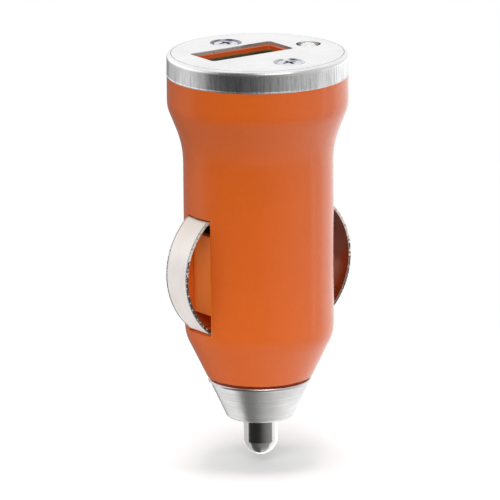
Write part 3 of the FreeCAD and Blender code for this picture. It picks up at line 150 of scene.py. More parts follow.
@dataclass(frozen=True)
class Finish:
    """A real material and how its surface was made.

    The colour and the roughness follow a mix of wide blotches and finer grain, and the
    relief follows the grain alone. Each size is the real one in millimetres, unless the
    comment on the finish says that it is drawn coarser. The mix's values within TONE_SPAN
    run from the colour to the tone, and those within ROUGH_SPAN through the roughness.
    """

    GRAIN_DETAIL: ClassVar[float] = 3.0
    GRAIN_ROUGHNESS: ClassVar[float] = 0.55
    GRAIN_SHARE: ClassVar[float] = 0.5
    BLOTCH_DETAIL: ClassVar[float] = 2.0
    TONE_SPAN: ClassVar[tuple[float, float]] = (0.3, 0.7)
    ROUGH_SPAN: ClassVar[tuple[float, float]] = (0.25, 0.75)
    WEAVE_WANDER: ClassVar[float] = 0.6
    COAT_ROUGHNESS: ClassVar[float] = 0.05

    name: str
    colour: str
    tone: str
    roughness: float
    roughness_spread: float
    grain: Grain
    grain_mm: float
    relief_um: float
    metallic: float = 0.0
    blotch_mm: float = 6.0
    stretch: float = 40.0
    ior: float = 1.5
    specular: float = 0.5
    coat: float = 0.0
    transmission: float = 0.0
    patch: Patch | None = None
    reach_mm: float = 12.2
    flat_mm: float = 15.0

    def unrolled(self, tree: NodeTree, draw: float) -> NodeSocket:
        """Unroll what stands upright round the plug's axis.

        X is the way walked round the axis at the reach, and Z the height divided by the
        draw, so noise that is read there runs in upright lines.

        Args:
            tree: the material's node tree.
            draw: how many times as high as wide the noise becomes.

        Returns:
            The unrolled place, in metres.
        """
        place = add_node(tree, "TexCoord").outputs["Object"]
        parts = add_node(tree, "SeparateXYZ", None, {0: place}).outputs
        turn = add_node(tree, "Math", {"operation": "ARCTAN2"}, {0: parts["Y"], 1: parts["X"]})
        way = add_node(tree, "Math", {"operation": "MULTIPLY"},
                       {0: turn.outputs[0], 1: self.reach_mm * MM}).outputs[0]
        rise = add_node(tree, "Math", {"operation": "DIVIDE"}, {0: parts["Z"], 1: draw}).outputs[0]
        return add_node(tree, "CombineXYZ", None, {"X": way, "Z": rise}).outputs[0]

    def marks(self, tree: NodeTree) -> NodeSocket:
        """Work out the place at which the grain's noise is read.

        Args:
            tree: the material's node tree.

        Returns:
            A vector in metres, drawn out along the marks.
        """
        place = add_node(tree, "TexCoord").outputs["Object"]
        if self.grain in (Grain.EVEN, Grain.TWILL):
            return place
        if self.grain is Grain.LENGTHWISE:
            flat = add_node(tree, "UVMap").outputs["UV"]
            return add_node(tree, "VectorMath", {"operation": "MULTIPLY"},
                            {0: flat, 1: (1 / self.stretch, 1.0, 1.0)}).outputs[0]
        parts = add_node(tree, "SeparateXYZ", None, {0: place}).outputs
        if self.grain is Grain.RINGS:
            level = add_node(tree, "CombineXYZ", None, {"X": parts["X"], "Y": parts["Y"]})
            radius = add_node(tree, "VectorMath", {"operation": "LENGTH"},
                              {0: level.outputs[0]}).outputs["Value"]
            drift = add_node(tree, "Math", {"operation": "MULTIPLY"},
                             {0: parts["X"], 1: 1 / self.stretch}).outputs[0]
            return add_node(tree, "CombineXYZ", None,
                            {"X": radius, "Y": drift, "Z": parts["Z"]}).outputs[0]
        skirt = self.unrolled(tree, self.stretch)
        top = add_node(tree, "VectorMath", {"operation": "MULTIPLY"},
                       {0: place, 1: (1 / self.stretch, 1.0, 1.0)}).outputs[0]
        on_top = add_node(tree, "Math", {"operation": "GREATER_THAN"},
                          {0: parts["Z"], 1: self.flat_mm * MM}).outputs[0]
        return add_node(tree, "Mix", {"data_type": "VECTOR"},
                        {"Factor": on_top, 4: skirt, 5: top}).outputs[1]

    def fine(self, tree: NodeTree) -> NodeSocket:
        """Draw the grain itself, from 0 to 1.

        Args:
            tree: the material's node tree.

        Returns:
            The grain's height.
        """
        marks = self.marks(tree)
        if self.grain is Grain.TWILL:
            weft, warp = (
                add_node(tree, "TexWave", {"bands_direction": side, "wave_profile": "SIN"}, {
                    "Vector": marks, "Scale": 1 / (self.grain_mm * MM * math.tau),
                    "Distortion": self.WEAVE_WANDER}).outputs["Fac"] for side in ("X", "Z"))
            return add_node(tree, "Math", {"operation": "MULTIPLY"}, {0: weft, 1: warp}).outputs[0]
        return add_node(tree, "TexNoise", None, {
            "Vector": marks, "Scale": 1 / (self.grain_mm * MM), "Detail": self.GRAIN_DETAIL,
            "Roughness": self.GRAIN_ROUGHNESS}).outputs["Fac"]

    def make(self) -> Material:
        """Build the material, or hand back the one already built.

        Returns:
            The material.
        """
        if self.name in bpy.data.materials:
            return bpy.data.materials[self.name]
        made = bpy.data.materials.new(self.name)
        made.use_nodes = True
        tree = made.node_tree
        shader = tree.nodes["Principled BSDF"]
        fine = self.fine(tree)
        place = add_node(tree, "TexCoord").outputs["Object"]
        blotch = add_node(tree, "TexNoise", None, {
            "Vector": place, "Scale": 1 / (self.blotch_mm * MM), "Detail": self.BLOTCH_DETAIL,
        }).outputs["Fac"]
        share = add_node(tree, "Mix", {"data_type": "FLOAT"},
                         {"Factor": self.GRAIN_SHARE, 2: blotch, 3: fine}).outputs[0]
        rough = add_node(tree, "MapRange", None, {
            "Value": share, "From Min": self.ROUGH_SPAN[0], "From Max": self.ROUGH_SPAN[1],
            "To Min": self.roughness - self.roughness_spread,
            "To Max": self.roughness + self.roughness_spread,
        }).outputs[0]
        tree.links.new(self.worn(tree, rough), shader.inputs["Roughness"])
        relief = add_node(tree, "Bump", None,
                          {"Height": fine, "Strength": 1.0, "Distance": self.relief_um * MICRON})
        tree.links.new(relief.outputs["Normal"], shader.inputs["Normal"])
        for socket, level in (
            ("Metallic", self.metallic),
            ("IOR", self.ior),
            ("Specular IOR Level", self.specular),
            ("Coat Weight", self.coat),
            ("Coat Roughness", self.COAT_ROUGHNESS),
            ("Transmission Weight", self.transmission),
        ):
            shader.inputs[socket].default_value = level
        shift = add_node(tree, "MapRange", None, {
            "Value": share, "From Min": self.TONE_SPAN[0], "From Max": self.TONE_SPAN[1],
        }).outputs[0]
        inks = [(shift, self.tone), *self.inks(tree)]
        if self.patch:
            inside = self.patch.inside(tree)
            inks.append((inside, self.patch.colour))
            changed = shader.inputs[self.patch.socket]
            varied = add_node(tree, "MapRange", None, {
                "Value": inside, "To Min": changed.default_value, "To Max": self.patch.level})
            tree.links.new(varied.outputs[0], changed)
        colour: Any = linear(self.colour)
        for mask, ink in inks:
            colour = add_node(tree, "Mix", {"data_type": "RGBA"},
                              {"Factor": mask, 6: colour, 7: linear(ink)}).outputs[2]
        tree.links.new(colour, shader.inputs["Base Color"])
        return made

    def inks(self, tree: NodeTree) -> list[tuple[NodeSocket, str]]:
        """List what lies over the colour, mask and colour of each; a plain finish has none."""
        return []

    def worn(self, tree: NodeTree, rough: NodeSocket) -> NodeSocket:
        """Change the roughness where the finish asks it; a plain finish keeps it."""
        return rough


@dataclass(frozen=True)
class CapSteel(Finish):
    """Brushed steel, with coarser brush lines on its skirt and painted shade round its screws.

    A fine line runs round the edge of the flat top. A grey ring round each screw is
    painted shade on the wall of the dimple pressed there, paler at the front screw.
    """

    line_mm: float = 11.62
    line_half_mm: float = 0.05
    line_colour: str = "#77787A"
    screw_mm: float = 7.4
    # The rings round the screws are painted shade in their dimples, the front one paler
    ring_mm: float = 1.98
    ring_half_mm: float = 0.16
    dimple_shade_colour: str = "#8D8E96"
    front_dimple_shade_colour: str = "#C6C7D0"
    skirt_top_mm: float = 14.5
    brush_mm: float = 0.30
    brush_draw: float = 12.0
    brush_detail: float = 4.0
    brush_roughness: float = 0.7
    brush_span: tuple[float, float] = (0.44, 0.70)
    brush_colour: str = "#B4B5B7"

    def inks(self, tree: NodeTree) -> list[tuple[NodeSocket, str]]:
        """Draw the top's fine line, the painted shade rings and the skirt's brush lines.

        A mark is where the distance from its own upright axis is near the mark's radius,
        and a brush line where the unrolled skirt's noise is high.

        Args:
            tree: the material's node tree.

        Returns:
            The mask, 1 where it lies and 0 elsewhere, and the colour of each.
        """
        place = add_node(tree, "TexCoord").outputs["Object"]
        level = add_node(tree, "VectorMath", {"operation": "MULTIPLY"},
                         {0: place, 1: (1.0, 1.0, 0.0)}).outputs[0]
        inks = []
        for middle, reach, half, ink in (
            (0.0, self.line_mm, self.line_half_mm, self.line_colour),
            # painted shade in the dimple round each screw, paler at the front one
            (self.screw_mm, self.ring_mm, self.ring_half_mm, self.dimple_shade_colour),
            (-self.screw_mm, self.ring_mm, self.ring_half_mm, self.front_dimple_shade_colour),
        ):
            radius = add_node(tree, "VectorMath", {"operation": "DISTANCE"},
                              {0: level, 1: (0.0, middle * MM, 0.0)}).outputs["Value"]
            near = add_node(tree, "Math", {"operation": "COMPARE"},
                            {0: radius, 1: reach * MM, 2: half * MM}).outputs[0]
            inks.append((near, ink))
        lines = add_node(tree, "TexNoise", None, {
            "Vector": self.unrolled(tree, self.brush_draw), "Scale": 1 / (self.brush_mm * MM),
            "Detail": self.brush_detail, "Roughness": self.brush_roughness}).outputs["Fac"]
        drawn = add_node(tree, "MapRange", None, {
            "Value": lines, "From Min": self.brush_span[0], "From Max": self.brush_span[1],
        }).outputs[0]
        height = add_node(tree, "SeparateXYZ", None, {0: place}).outputs["Z"]
        below = add_node(tree, "Math", {"operation": "LESS_THAN"},
                         {0: height, 1: self.skirt_top_mm * MM}).outputs[0]
        share = add_node(tree, "Math", {"operation": "MULTIPLY"}, {0: drawn, 1: below}).outputs[0]
        return [*inks, (share, self.brush_colour)]


@dataclass(frozen=True)
class StripSteel(Finish):
    """Plated spring strip with dark spots on its cut edges, painted shade on its upper end
    and beside its edges, and a painted brown reflection of the housing on its inner face.

    The piece's V runs round the strip's section from the middle of the outer face, so
    the distance of V from the middle of the inner face tells the faces apart.
    """

    inner_middle_mm: float = 5.10
    inner_half_mm: float = 2.33
    inner_roughness: float = 0.15
    # The inner face's brown is a painted reflection of the orange housing beside it
    inner_reflection_colour: str = "#843F1A"
    edge_middle_mm: float = 2.55
    edge_half_mm: float = 0.19
    # Dark spots over the cut edges, more of them towards the lower end
    spot_mm: float = 0.34
    spot_detail: float = 1.0
    edge_spot_colour: str = "#45483C"
    spot_span: tuple[float, float] = (0.44, 0.56)
    spot_walk_mm: tuple[float, float] = (9.0, 19.0)
    spot_shift: tuple[float, float] = (-0.13, 0.16)
    # A line of painted shade on the outer face, beside each cut edge
    line_middle_mm: float = 2.84
    line_half_mm: float = 0.075
    line_colour: str = "#4E4B40"
    # The upper end is darker: painted shade, fading out along the strip
    upper_shade_mm: tuple[float, float] = (5.5, 11.5)
    upper_shade_colour: str = "#D6CDC2"

    def band(self, tree: NodeTree, middle_mm: float, half_mm: float) -> NodeSocket:
        """Tell a band along the strip, the same on either side of its middle, from the rest.

        Args:
            tree: the material's node tree.
            middle_mm: how far round the section the band's middle lies from the middle
                of the inner face.
            half_mm: half of the band's width.

        Returns:
            1 on the band and 0 elsewhere.
        """
        flat = add_node(tree, "UVMap").outputs["UV"]
        across = add_node(tree, "SeparateXYZ", None, {0: flat}).outputs["Y"]
        offset = add_node(tree, "Math", {"operation": "SUBTRACT"},
                          {0: across, 1: self.inner_middle_mm * MM}).outputs[0]
        away = add_node(tree, "Math", {"operation": "ABSOLUTE"}, {0: offset}).outputs[0]
        return add_node(tree, "Math", {"operation": "COMPARE"},
                        {0: away, 1: middle_mm * MM, 2: half_mm * MM}).outputs[0]

    def inks(self, tree: NodeTree) -> list[tuple[NodeSocket, str]]:
        """Paint shade on the upper end and beside the cut edges, the housing's reflection
        on the inner face, and dark spots over the cut edges.

        U is the length walked from the strip's upper end. The noise of the dark spots is
        raised along it, so the lower end of an edge has more of them than its upper end.

        Args:
            tree: the material's node tree.

        Returns:
            The mask, 1 where it lies and 0 elsewhere, and the colour of each.
        """
        flat = add_node(tree, "UVMap").outputs["UV"]
        walked = add_node(tree, "SeparateXYZ", None, {0: flat}).outputs["X"]
        # Painted shade over the upper end, fading out along the strip
        upper_shade = add_node(tree, "MapRange", None, {
            "Value": walked, "From Min": self.upper_shade_mm[0] * MM, "From Max": self.upper_shade_mm[1] * MM,
            "To Min": 1.0, "To Max": 0.0}).outputs[0]
        spots = add_node(tree, "TexNoise", None, {
            "Vector": flat, "Scale": 1 / (self.spot_mm * MM), "Detail": self.spot_detail,
        }).outputs["Fac"]
        along = add_node(tree, "MapRange", None, {
            "Value": walked, "From Min": self.spot_walk_mm[0] * MM,
            "From Max": self.spot_walk_mm[1] * MM,
            "To Min": self.spot_shift[0], "To Max": self.spot_shift[1]}).outputs[0]
        raised = add_node(tree, "Math", {"operation": "ADD"}, {0: spots, 1: along}).outputs[0]
        spotted = add_node(tree, "MapRange", None, {
            "Value": raised, "From Min": self.spot_span[0], "From Max": self.spot_span[1],
        }).outputs[0]
        edge = self.band(tree, self.edge_middle_mm, self.edge_half_mm)
        share = add_node(tree, "Math", {"operation": "MULTIPLY"}, {0: spotted, 1: edge}).outputs[0]
        return [
            (upper_shade, self.upper_shade_colour),
            # painted reflection of the orange housing on the inner face
            (self.band(tree, 0.0, self.inner_half_mm), self.inner_reflection_colour),
            # painted shade beside each cut edge
            (self.band(tree, self.line_middle_mm, self.line_half_mm), self.line_colour),
            (share, self.edge_spot_colour),
        ]

    def worn(self, tree: NodeTree, rough: NodeSocket) -> NodeSocket:
        """Smooth the inner face, where the painted brown reflection lies.

        Args:
            tree: the material's node tree.
            rough: the outer face's roughness.

        Returns:
            The roughness of both faces.
        """
        inner = self.band(tree, 0.0, self.inner_half_mm)
        return add_node(tree, "Mix", {"data_type": "FLOAT"},
                        {"Factor": inner, 2: rough, 3: self.inner_roughness}).outputs[0]


# The side pockets, which plain cores of the mould make: no gloss, and a paler, brighter orange,
# painted light in the recesses
POCKETS = Patch((0.0, 0.0, -14.2), (9.72, 2.66, 8.1), "#FF8632", "Coat Weight", 0.0)
# The cut edge round the port's opening, which the brushing doesn't reach: grey and dull
OPENING = Patch((-1.35, 1.75, 14.9), (6.7, 2.95, 0.22), "#A9A8A4", "Metallic", 0.6)

# Injection moulded ABS, polished mould: a clear gloss skin over a softer sheen
ORANGE_ABS = Finish("orange_abs_gloss_moulded", "#D8621B", "#D25E1E", 0.42, 0.05,
                    Grain.EVEN, 0.7, 0.7, blotch_mm=9.0, ior=1.53, specular=0.15,
                    coat=0.8, patch=POCKETS)
# The same ABS from a plainer mould: the port's well is a little duller
ORANGE_INSERT = Finish("orange_abs_satin_moulded", "#CB521A", "#BE4A16", 0.32, 0.06,
                       Grain.EVEN, 0.35, 2.0, ior=1.53)
# Stainless steel sheet, brushed: fine streaks, straight on top and upright round the
# skirt. They are drawn about four times as coarse as real ones, so that they show
CAP_STEEL = CapSteel("stainless_steel_brushed", "#F2F2F2", "#E2E2E3", 0.27, 0.08,
                     Grain.CAP, 0.20, 2.6, metallic=1.0, blotch_mm=5.0, patch=OPENING)
# Zinc plated screw steel, tumbled bright: small even dimples
SCREW_STEEL = Finish("screw_steel_zinc_plated", "#E6E7EE", "#C9CAD4", 0.26, 0.06,
                     Grain.EVEN, 0.25, 2.5, metallic=1.0, blotch_mm=1.2)
# Brass turned on a lathe and nickel plated: rings round the axis with a soft shine.
# The rings are drawn twice as coarse as real ones, so that they show
NICKEL = Finish("nickel_plate_turned", "#ECEBEB", "#CBCAC9", 0.28, 0.08,
                Grain.RINGS, 0.20, 1.7, metallic=1.0, blotch_mm=3.0)
# The same, polished before it was plated: crisp bright and dark bands. Its colour is
# darkened, painted shade for the shadowed paper that the pin reflects
NICKEL_PIN_SHADED = Finish("nickel_plate_polished_shaded", "#A5A4A2", "#9A9997", 0.13, 0.04,
                    Grain.RINGS, 0.15, 0.5, metallic=1.0, blotch_mm=3.0)
# Spring strip, rolled and matt plated before it was cut: a warm, even, pale satin.
# The rolling lines are drawn three times as coarse as real ones, so that they show
PLATED_STRIP = StripSteel("spring_strip_rolled_plated", "#F0EAE8", "#E6DED9", 0.48, 0.05,
                          Grain.LENGTHWISE, 0.18, 0.9, metallic=0.42, blotch_mm=3.0)
# Hard drawn spring wire: grey and smooth, drawn along its length
SPRING_STEEL = Finish("spring_wire_hard_drawn", "#9A9A98", "#82827F", 0.30, 0.08,
                      Grain.LENGTHWISE, 0.08, 1.0, metallic=1.0, blotch_mm=2.0)
# Glass filled white nylon, moulded: a soft sheen with fine flow marks
WHITE_NYLON = Finish("white_nylon_moulded", "#F2F0EA", "#E6E3DB", 0.38, 0.08,
                     Grain.EVEN, 0.5, 2.0, ior=1.53)
# Gold flashed phosphor bronze, stamped: yellow and smooth with faint rolling lines
GOLD_PLATE = Finish("gold_flash_on_bronze", "#C9A95A", "#A98A45", 0.24, 0.06,
                    Grain.EVEN, 0.2, 0.8, metallic=1.0, blotch_mm=2.0)
# Milky epoxy of an indicator lamp, cast: smooth, and it scatters the light within it
LAMP_RESIN = Finish("milky_epoxy_cast", "#FAFBF8", "#E8E9E0", 0.12, 0.03,
                    Grain.EVEN, 0.6, 0.3, ior=1.54, transmission=0.45)
# Tinned copper wire, dipped: bright grey with small lumps of tin
TINNED_WIRE = Finish("tinned_wire_dipped", "#C9CBCC", "#ADB0B2", 0.28, 0.08,
                     Grain.EVEN, 0.4, 3.0, metallic=1.0, blotch_mm=1.5)
# Tin plated steel sheet of the port's shell, rolled: dull grey tin, with its colour darkened
# towards olive as painted shade of the port's deep well
TINNED_SHEET = Finish("steel_sheet_tinned", "#77734C", "#4E4F3F", 0.42, 0.08,
                      Grain.EVEN, 0.3, 2.0, metallic=0.4, blotch_mm=2.0)
# Glass cloth board with a green resist, so the weave shows faintly
BOARD_LAMINATE = Finish("glass_epoxy_board", "#2E6B43", "#245737", 0.36, 0.06,
                        Grain.TWILL, 0.5, 3.0)
# Black epoxy moulding of a chip: matt, with a fine even grit drawn coarse enough to show
BLACK_MOULDING = Finish("black_epoxy_moulded", "#232325", "#2E2E31", 0.52, 0.08,
                        Grain.EVEN, 0.12, 5.0)
# Fired ceramic of chip components: tan body, slightly glazed
CHIP_CERAMIC = Finish("chip_ceramic_fired", "#A58C70", "#8F775D", 0.40, 0.08,
                      Grain.EVEN, 0.15, 3.0)
# Sintered ferrite: dark grey and dull, with pores drawn coarse enough to show
FERRITE = Finish("ferrite_sintered", "#3A3A3C", "#2B2B2D", 0.62, 0.10,
                 Grain.EVEN, 0.10, 8.0)
# Enamelled copper wire: lacquer over bright copper
COPPER_WIRE = Finish("copper_wire_enamelled", "#B5653A", "#9A5230", 0.26, 0.07,
                     Grain.LENGTHWISE, 0.06, 0.8, metallic=1.0, blotch_mm=1.5, coat=0.6)
# Drawn aluminium can of a capacitor, plain satin
CAN_ALUMINIUM = Finish("aluminium_can_drawn", "#C4C6C8", "#AEB1B3", 0.32, 0.08,
                       Grain.EVEN, 0.15, 1.5, metallic=1.0, blotch_mm=2.0)
# Stamped brass of the spring seat, bare: yellow and slightly stained
BRASS = Finish("brass_stamped", "#C8A458", "#A98443", 0.30, 0.09,
               Grain.EVEN, 0.3, 1.5, metallic=1.0, blotch_mm=2.5)
# White paper sweep under the object: matt, with a faint tooth
STUDIO_PAPER = Finish("studio_paper_matt", "#E4E4E4", "#E2E2E2", 0.9, 0.02,
                      Grain.EVEN, 0.5, 2.0)


# Directions and meshes
def direction(azimuth: float, elevation: float) -> Vector:
    """Point from the object to where something stands round it.

    Args:
        azimuth: degrees round Z, from -Y towards +X.
        elevation: degrees over the horizon.

    Returns:
        The direction, of length one.
    """
    turn, lift = math.radians(azimuth), math.radians(elevation)
    return Vector((math.sin(turn) * math.cos(lift), -math.cos(turn) * math.cos(lift),
                   math.sin(lift)))


def unit(vectors: np.ndarray) -> np.ndarray:
    """Scale vectors, whose parts lie along the last axis, to length one."""
    return vectors / np.linalg.norm(vectors, axis=-1, keepdims=True)


def circle(sides: int) -> np.ndarray:
    """Spread angles evenly round a full turn, the first one at zero."""
    return np.linspace(0, 2 * np.pi, sides, endpoint=False)


def quarter_round(x: float, y: float, radius: float, steps: int) -> list[tuple[float, float]]:
    """Round a corner that points to +X and +Y, from its upper side to its right one.

    A point lies at (x - r + r sin a, y - r + r cos a), for a up to a quarter turn.

    Args:
        x: the corner's distance to the right.
        y: its height.
        radius: the rounding.
        steps: points on the arc.

    Returns:
        The arc's points.
    """
    return [(x - radius + radius * math.sin(a), y - radius + radius * math.cos(a))
            for a in np.linspace(0, np.pi / 2, steps)]


def grid_piece(name: str, points: np.ndarray, ring: bool = True, loop: bool = False,
               capped: bool = True) -> Object:
    """Skin a grid of points with quads and give it a UV map in metres.

    Row i and column j make the corner; each face joins (i, j), (i + 1, j),
    (i + 1, j + 1) and (i, j + 1). The U of a corner is the mean length walked
    from row to row, and its V the mean length walked from column to column.

    Args:
        name: the piece's name.
        points: rows by columns by three, in metres. A row is one section.
        ring: the last column joins the first.
        loop: the last row joins the first.
        capped: the first and last rows are closed towards their middles.

    Returns:
        The new object, linked to the scene.
    """
    if capped and not loop:
        ends = points[[0, -1]].mean(axis=1, keepdims=True) + 0 * points[[0, -1]]
        points = np.concatenate([ends[:1], points, ends[1:]])
    rows, columns = points.shape[:2]
    steps = np.linalg.norm(np.diff(points, axis=0, append=points[:1]), axis=-1).mean(axis=1)
    sides = np.linalg.norm(np.diff(points, axis=1, append=points[:, :1]), axis=-1).mean(axis=0)
    along = np.concatenate([[0.0], np.cumsum(steps)])
    across = np.concatenate([[0.0], np.cumsum(sides)])
    i = np.arange(rows if loop else rows - 1)[:, None]
    j = np.arange(columns if ring else columns - 1)[None, :]
    corners = [(i + a, j + b) for a, b in ((0, 0), (1, 0), (1, 1), (0, 1))]
    faces = np.stack([(a % rows) * columns + b % columns for a, b in corners], -1).reshape(-1, 4)
    flat = np.stack([np.stack(np.broadcast_arrays(along[a], across[b]), -1)
                     for a, b in corners], -2).reshape(-1, 2)
    mesh = bpy.data.meshes.new(name)
    mesh.from_pydata(points.reshape(-1, 3).tolist(), [], faces.tolist())
    mesh.uv_layers.new(name="UVMap").data.foreach_set("uv", flat.astype(np.float32).ravel())
    return finish_mesh(name, mesh)


def finish_mesh(name: str, mesh: Mesh) -> Object:
    """Close seams and poles, turn faces outwards and shade the mesh.

    Args:
        name: the piece's name.
        mesh: the mesh, with its place in its points.

    Returns:
        The new object, linked to the scene.
    """
    work = bmesh.new()
    work.from_mesh(mesh)
    bmesh.ops.remove_doubles(work, verts=work.verts, dist=WELD)
    bmesh.ops.recalc_face_normals(work, faces=work.faces)
    work.to_mesh(mesh)
    work.free()
    mesh.shade_smooth()
    mesh.set_sharp_from_angle(angle=CREASE)
    piece = bpy.data.objects.new(name, mesh)
    bpy.context.scene.collection.objects.link(piece)
    return piece


def rounded_path(corners: np.ndarray, radii: np.ndarray, samples: int) -> np.ndarray:
    """Round the inner corners of a run of straight lines.

    At a corner with unit directions b and a towards its neighbours and half angle h,
    the arc's centre lies r / sin h along the bisector, and the arc turns from the
    direction that faces b's side to the one that faces a's side in equal steps.

    Args:
        corners: corner points, count by two.
        radii: the rounding of each inner corner.
        samples: points on each arc.

    Returns:
        The points of the path, count by two.
    """
    at, back, ahead = corners[1:-1], corners[:-2], corners[2:]
    to_back, to_ahead = unit(back - at), unit(ahead - at)
    half = np.arccos(np.clip((to_back * to_ahead).sum(1), -1, 1)) / 2
    centre = at + unit(to_back + to_ahead) * (radii / np.sin(half))[:, None]
    reach = (radii / np.tan(half))[:, None]
    start, end = at + to_back * reach - centre, at + to_ahead * reach - centre
    first = np.arctan2(start[:, 1], start[:, 0])
    swing = np.arctan2(end[:, 1], end[:, 0]) - first
    swing = (swing + np.pi) % (2 * np.pi) - np.pi
    angles = first[:, None] + swing[:, None] * np.linspace(0, 1, samples)[None, :]
    arcs = centre[:, None] + radii[:, None, None] * np.stack([np.cos(angles), np.sin(angles)], -1)
    return np.concatenate([corners[:1], arcs.reshape(-1, 2), corners[-1:]])


def resample(path: np.ndarray, step: float) -> np.ndarray:
    """Space points evenly along a path, by linear steps of its length.

    Args:
        path: points, count by dimension.
        step: the distance wanted between points.

    Returns:
        The evenly spaced points.
    """
    walked = np.concatenate([[0], np.cumsum(np.linalg.norm(np.diff(path, axis=0), axis=1))])
    places = np.linspace(0, walked[-1], max(2, int(round(walked[-1] / step)) + 1))
    return np.stack([np.interp(places, walked, path[:, k]) for k in range(path.shape[1])], -1)


def tube(line: np.ndarray, radius: np.ndarray | float, sides: int) -> np.ndarray:
    """Carry a circle along a line.

    The section at each point lies across the line's direction; one of its axes is
    the direction crossed with the row's up, so the tube doesn't twist.

    Args:
        line: points, count by three, nowhere straight up.
        radius: the tube's radius, for all points or for each.
        sides: points round the circle.

    Returns:
        The grid of points, count by sides by three.
    """
    along = unit(np.gradient(line, axis=0))
    side = unit(np.cross(along, [0.0, 0.0, 1.0]))
    up = np.cross(side, along)
    turn = circle(sides)
    reach = np.broadcast_to(radius, len(line))[:, None, None]
    ring = side[:, None] * np.cos(turn)[None, :, None] + up[:, None] * np.sin(turn)[None, :, None]
    return line[:, None] + reach * ring


def turned(profile: Sequence[tuple[float, float]], sides: int,
           middle: tuple[float, float] = (0.0, 0.0)) -> np.ndarray:
    """Turn a profile round an upright axis.

    Each profile point (r, z) goes to (x + r cos t, y + r sin t, z) for t round the circle.

    Args:
        profile: (radius, height) pairs in metres.
        sides: points round the circle.
        middle: the axis's x and y.

    Returns:
        The grid of points, profile by sides by three.
    """
    radius, height = np.array(profile, float).T
    turn = circle(sides)
    x = middle[0] + radius[:, None] * np.cos(turn)
    y = middle[1] + radius[:, None] * np.sin(turn)
    return np.stack([x, y, np.broadcast_to(height[:, None], x.shape)], -1)


def dress(piece: Object, finish: Finish) -> None:
    """Give every material slot of a piece one finish; a new mesh gets its first slot.

    Args:
        piece: a new piece or a CAD node.
        finish: its finish.
    """
    if not piece.material_slots:
        piece.data.materials.append(finish.make())
    for slot in piece.material_slots:
        slot.material = finish.make()


def dress_nodes(finishes: dict[str, Finish]) -> None:
    """Give CAD nodes their finishes.

    Args:
        finishes: the nodes' names, each with its finish.
    """
    for name, finish in finishes.items():
        dress(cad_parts[name], finish)
        LOG.info("dressed %s", name)


def seat(piece: Object, body: str, finish: Finish) -> None:
    """Dress a new piece and let it ride on a body.

    Args:
        piece: the new piece.
        body: the CAD body that carries it.
        finish: its finish.
    """
    dress(piece, finish)
    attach(piece, body)
    LOG.info("built %s", piece.name)


# Sub-assemblies
@dataclass
class Shell:
    """Moulded housing and the port insert inside it."""

    FINISHES: ClassVar[dict[str, Finish]] = {"housing": ORANGE_ABS, "port_insert": ORANGE_INSERT}

    def build(self) -> None:
        """Dress the two mouldings."""
        dress_nodes(self.FINISHES)


@dataclass
class Cap:
    """Pressed cap with its rolled lower edge and its two screws."""

    FINISHES: ClassVar[dict[str, Finish]] = {
        "cap": CAP_STEEL, "cap_screw_front": SCREW_STEEL, "cap_screw_rear": SCREW_STEEL}

    edge_height: float = 12.2 * MM
    radius: float = 12.2 * MM
    lip_radius: float = 0.13 * MM
    lip_inset: float = 0.09 * MM
    lip_sides: int = 12
    lip_steps: int = 288

    def build(self) -> None:
        """Dress the cap and its screws and add the rolled lip."""
        dress_nodes(self.FINISHES)
        seat(self.lip(), "plug", CAP_STEEL)

    def lip(self) -> Object:
        """Roll a thin bead round the skirt's lower edge.

        The bead is a torus: a circle of the lip's radius whose middle runs round
        the axis just inside the skirt's outer face.

        Returns:
            The bead.
        """
        turn, swing = circle(self.lip_steps)[:, None], circle(self.lip_sides)[None, :]
        reach = self.radius - self.lip_inset + self.lip_radius * np.cos(swing)
        points = np.stack([
            reach * np.cos(turn), reach * np.sin(turn),
            self.edge_height + self.lip_radius * (1 + np.sin(swing)) + 0 * turn], -1)
        return grid_piece("cap_lip", points, loop=True)


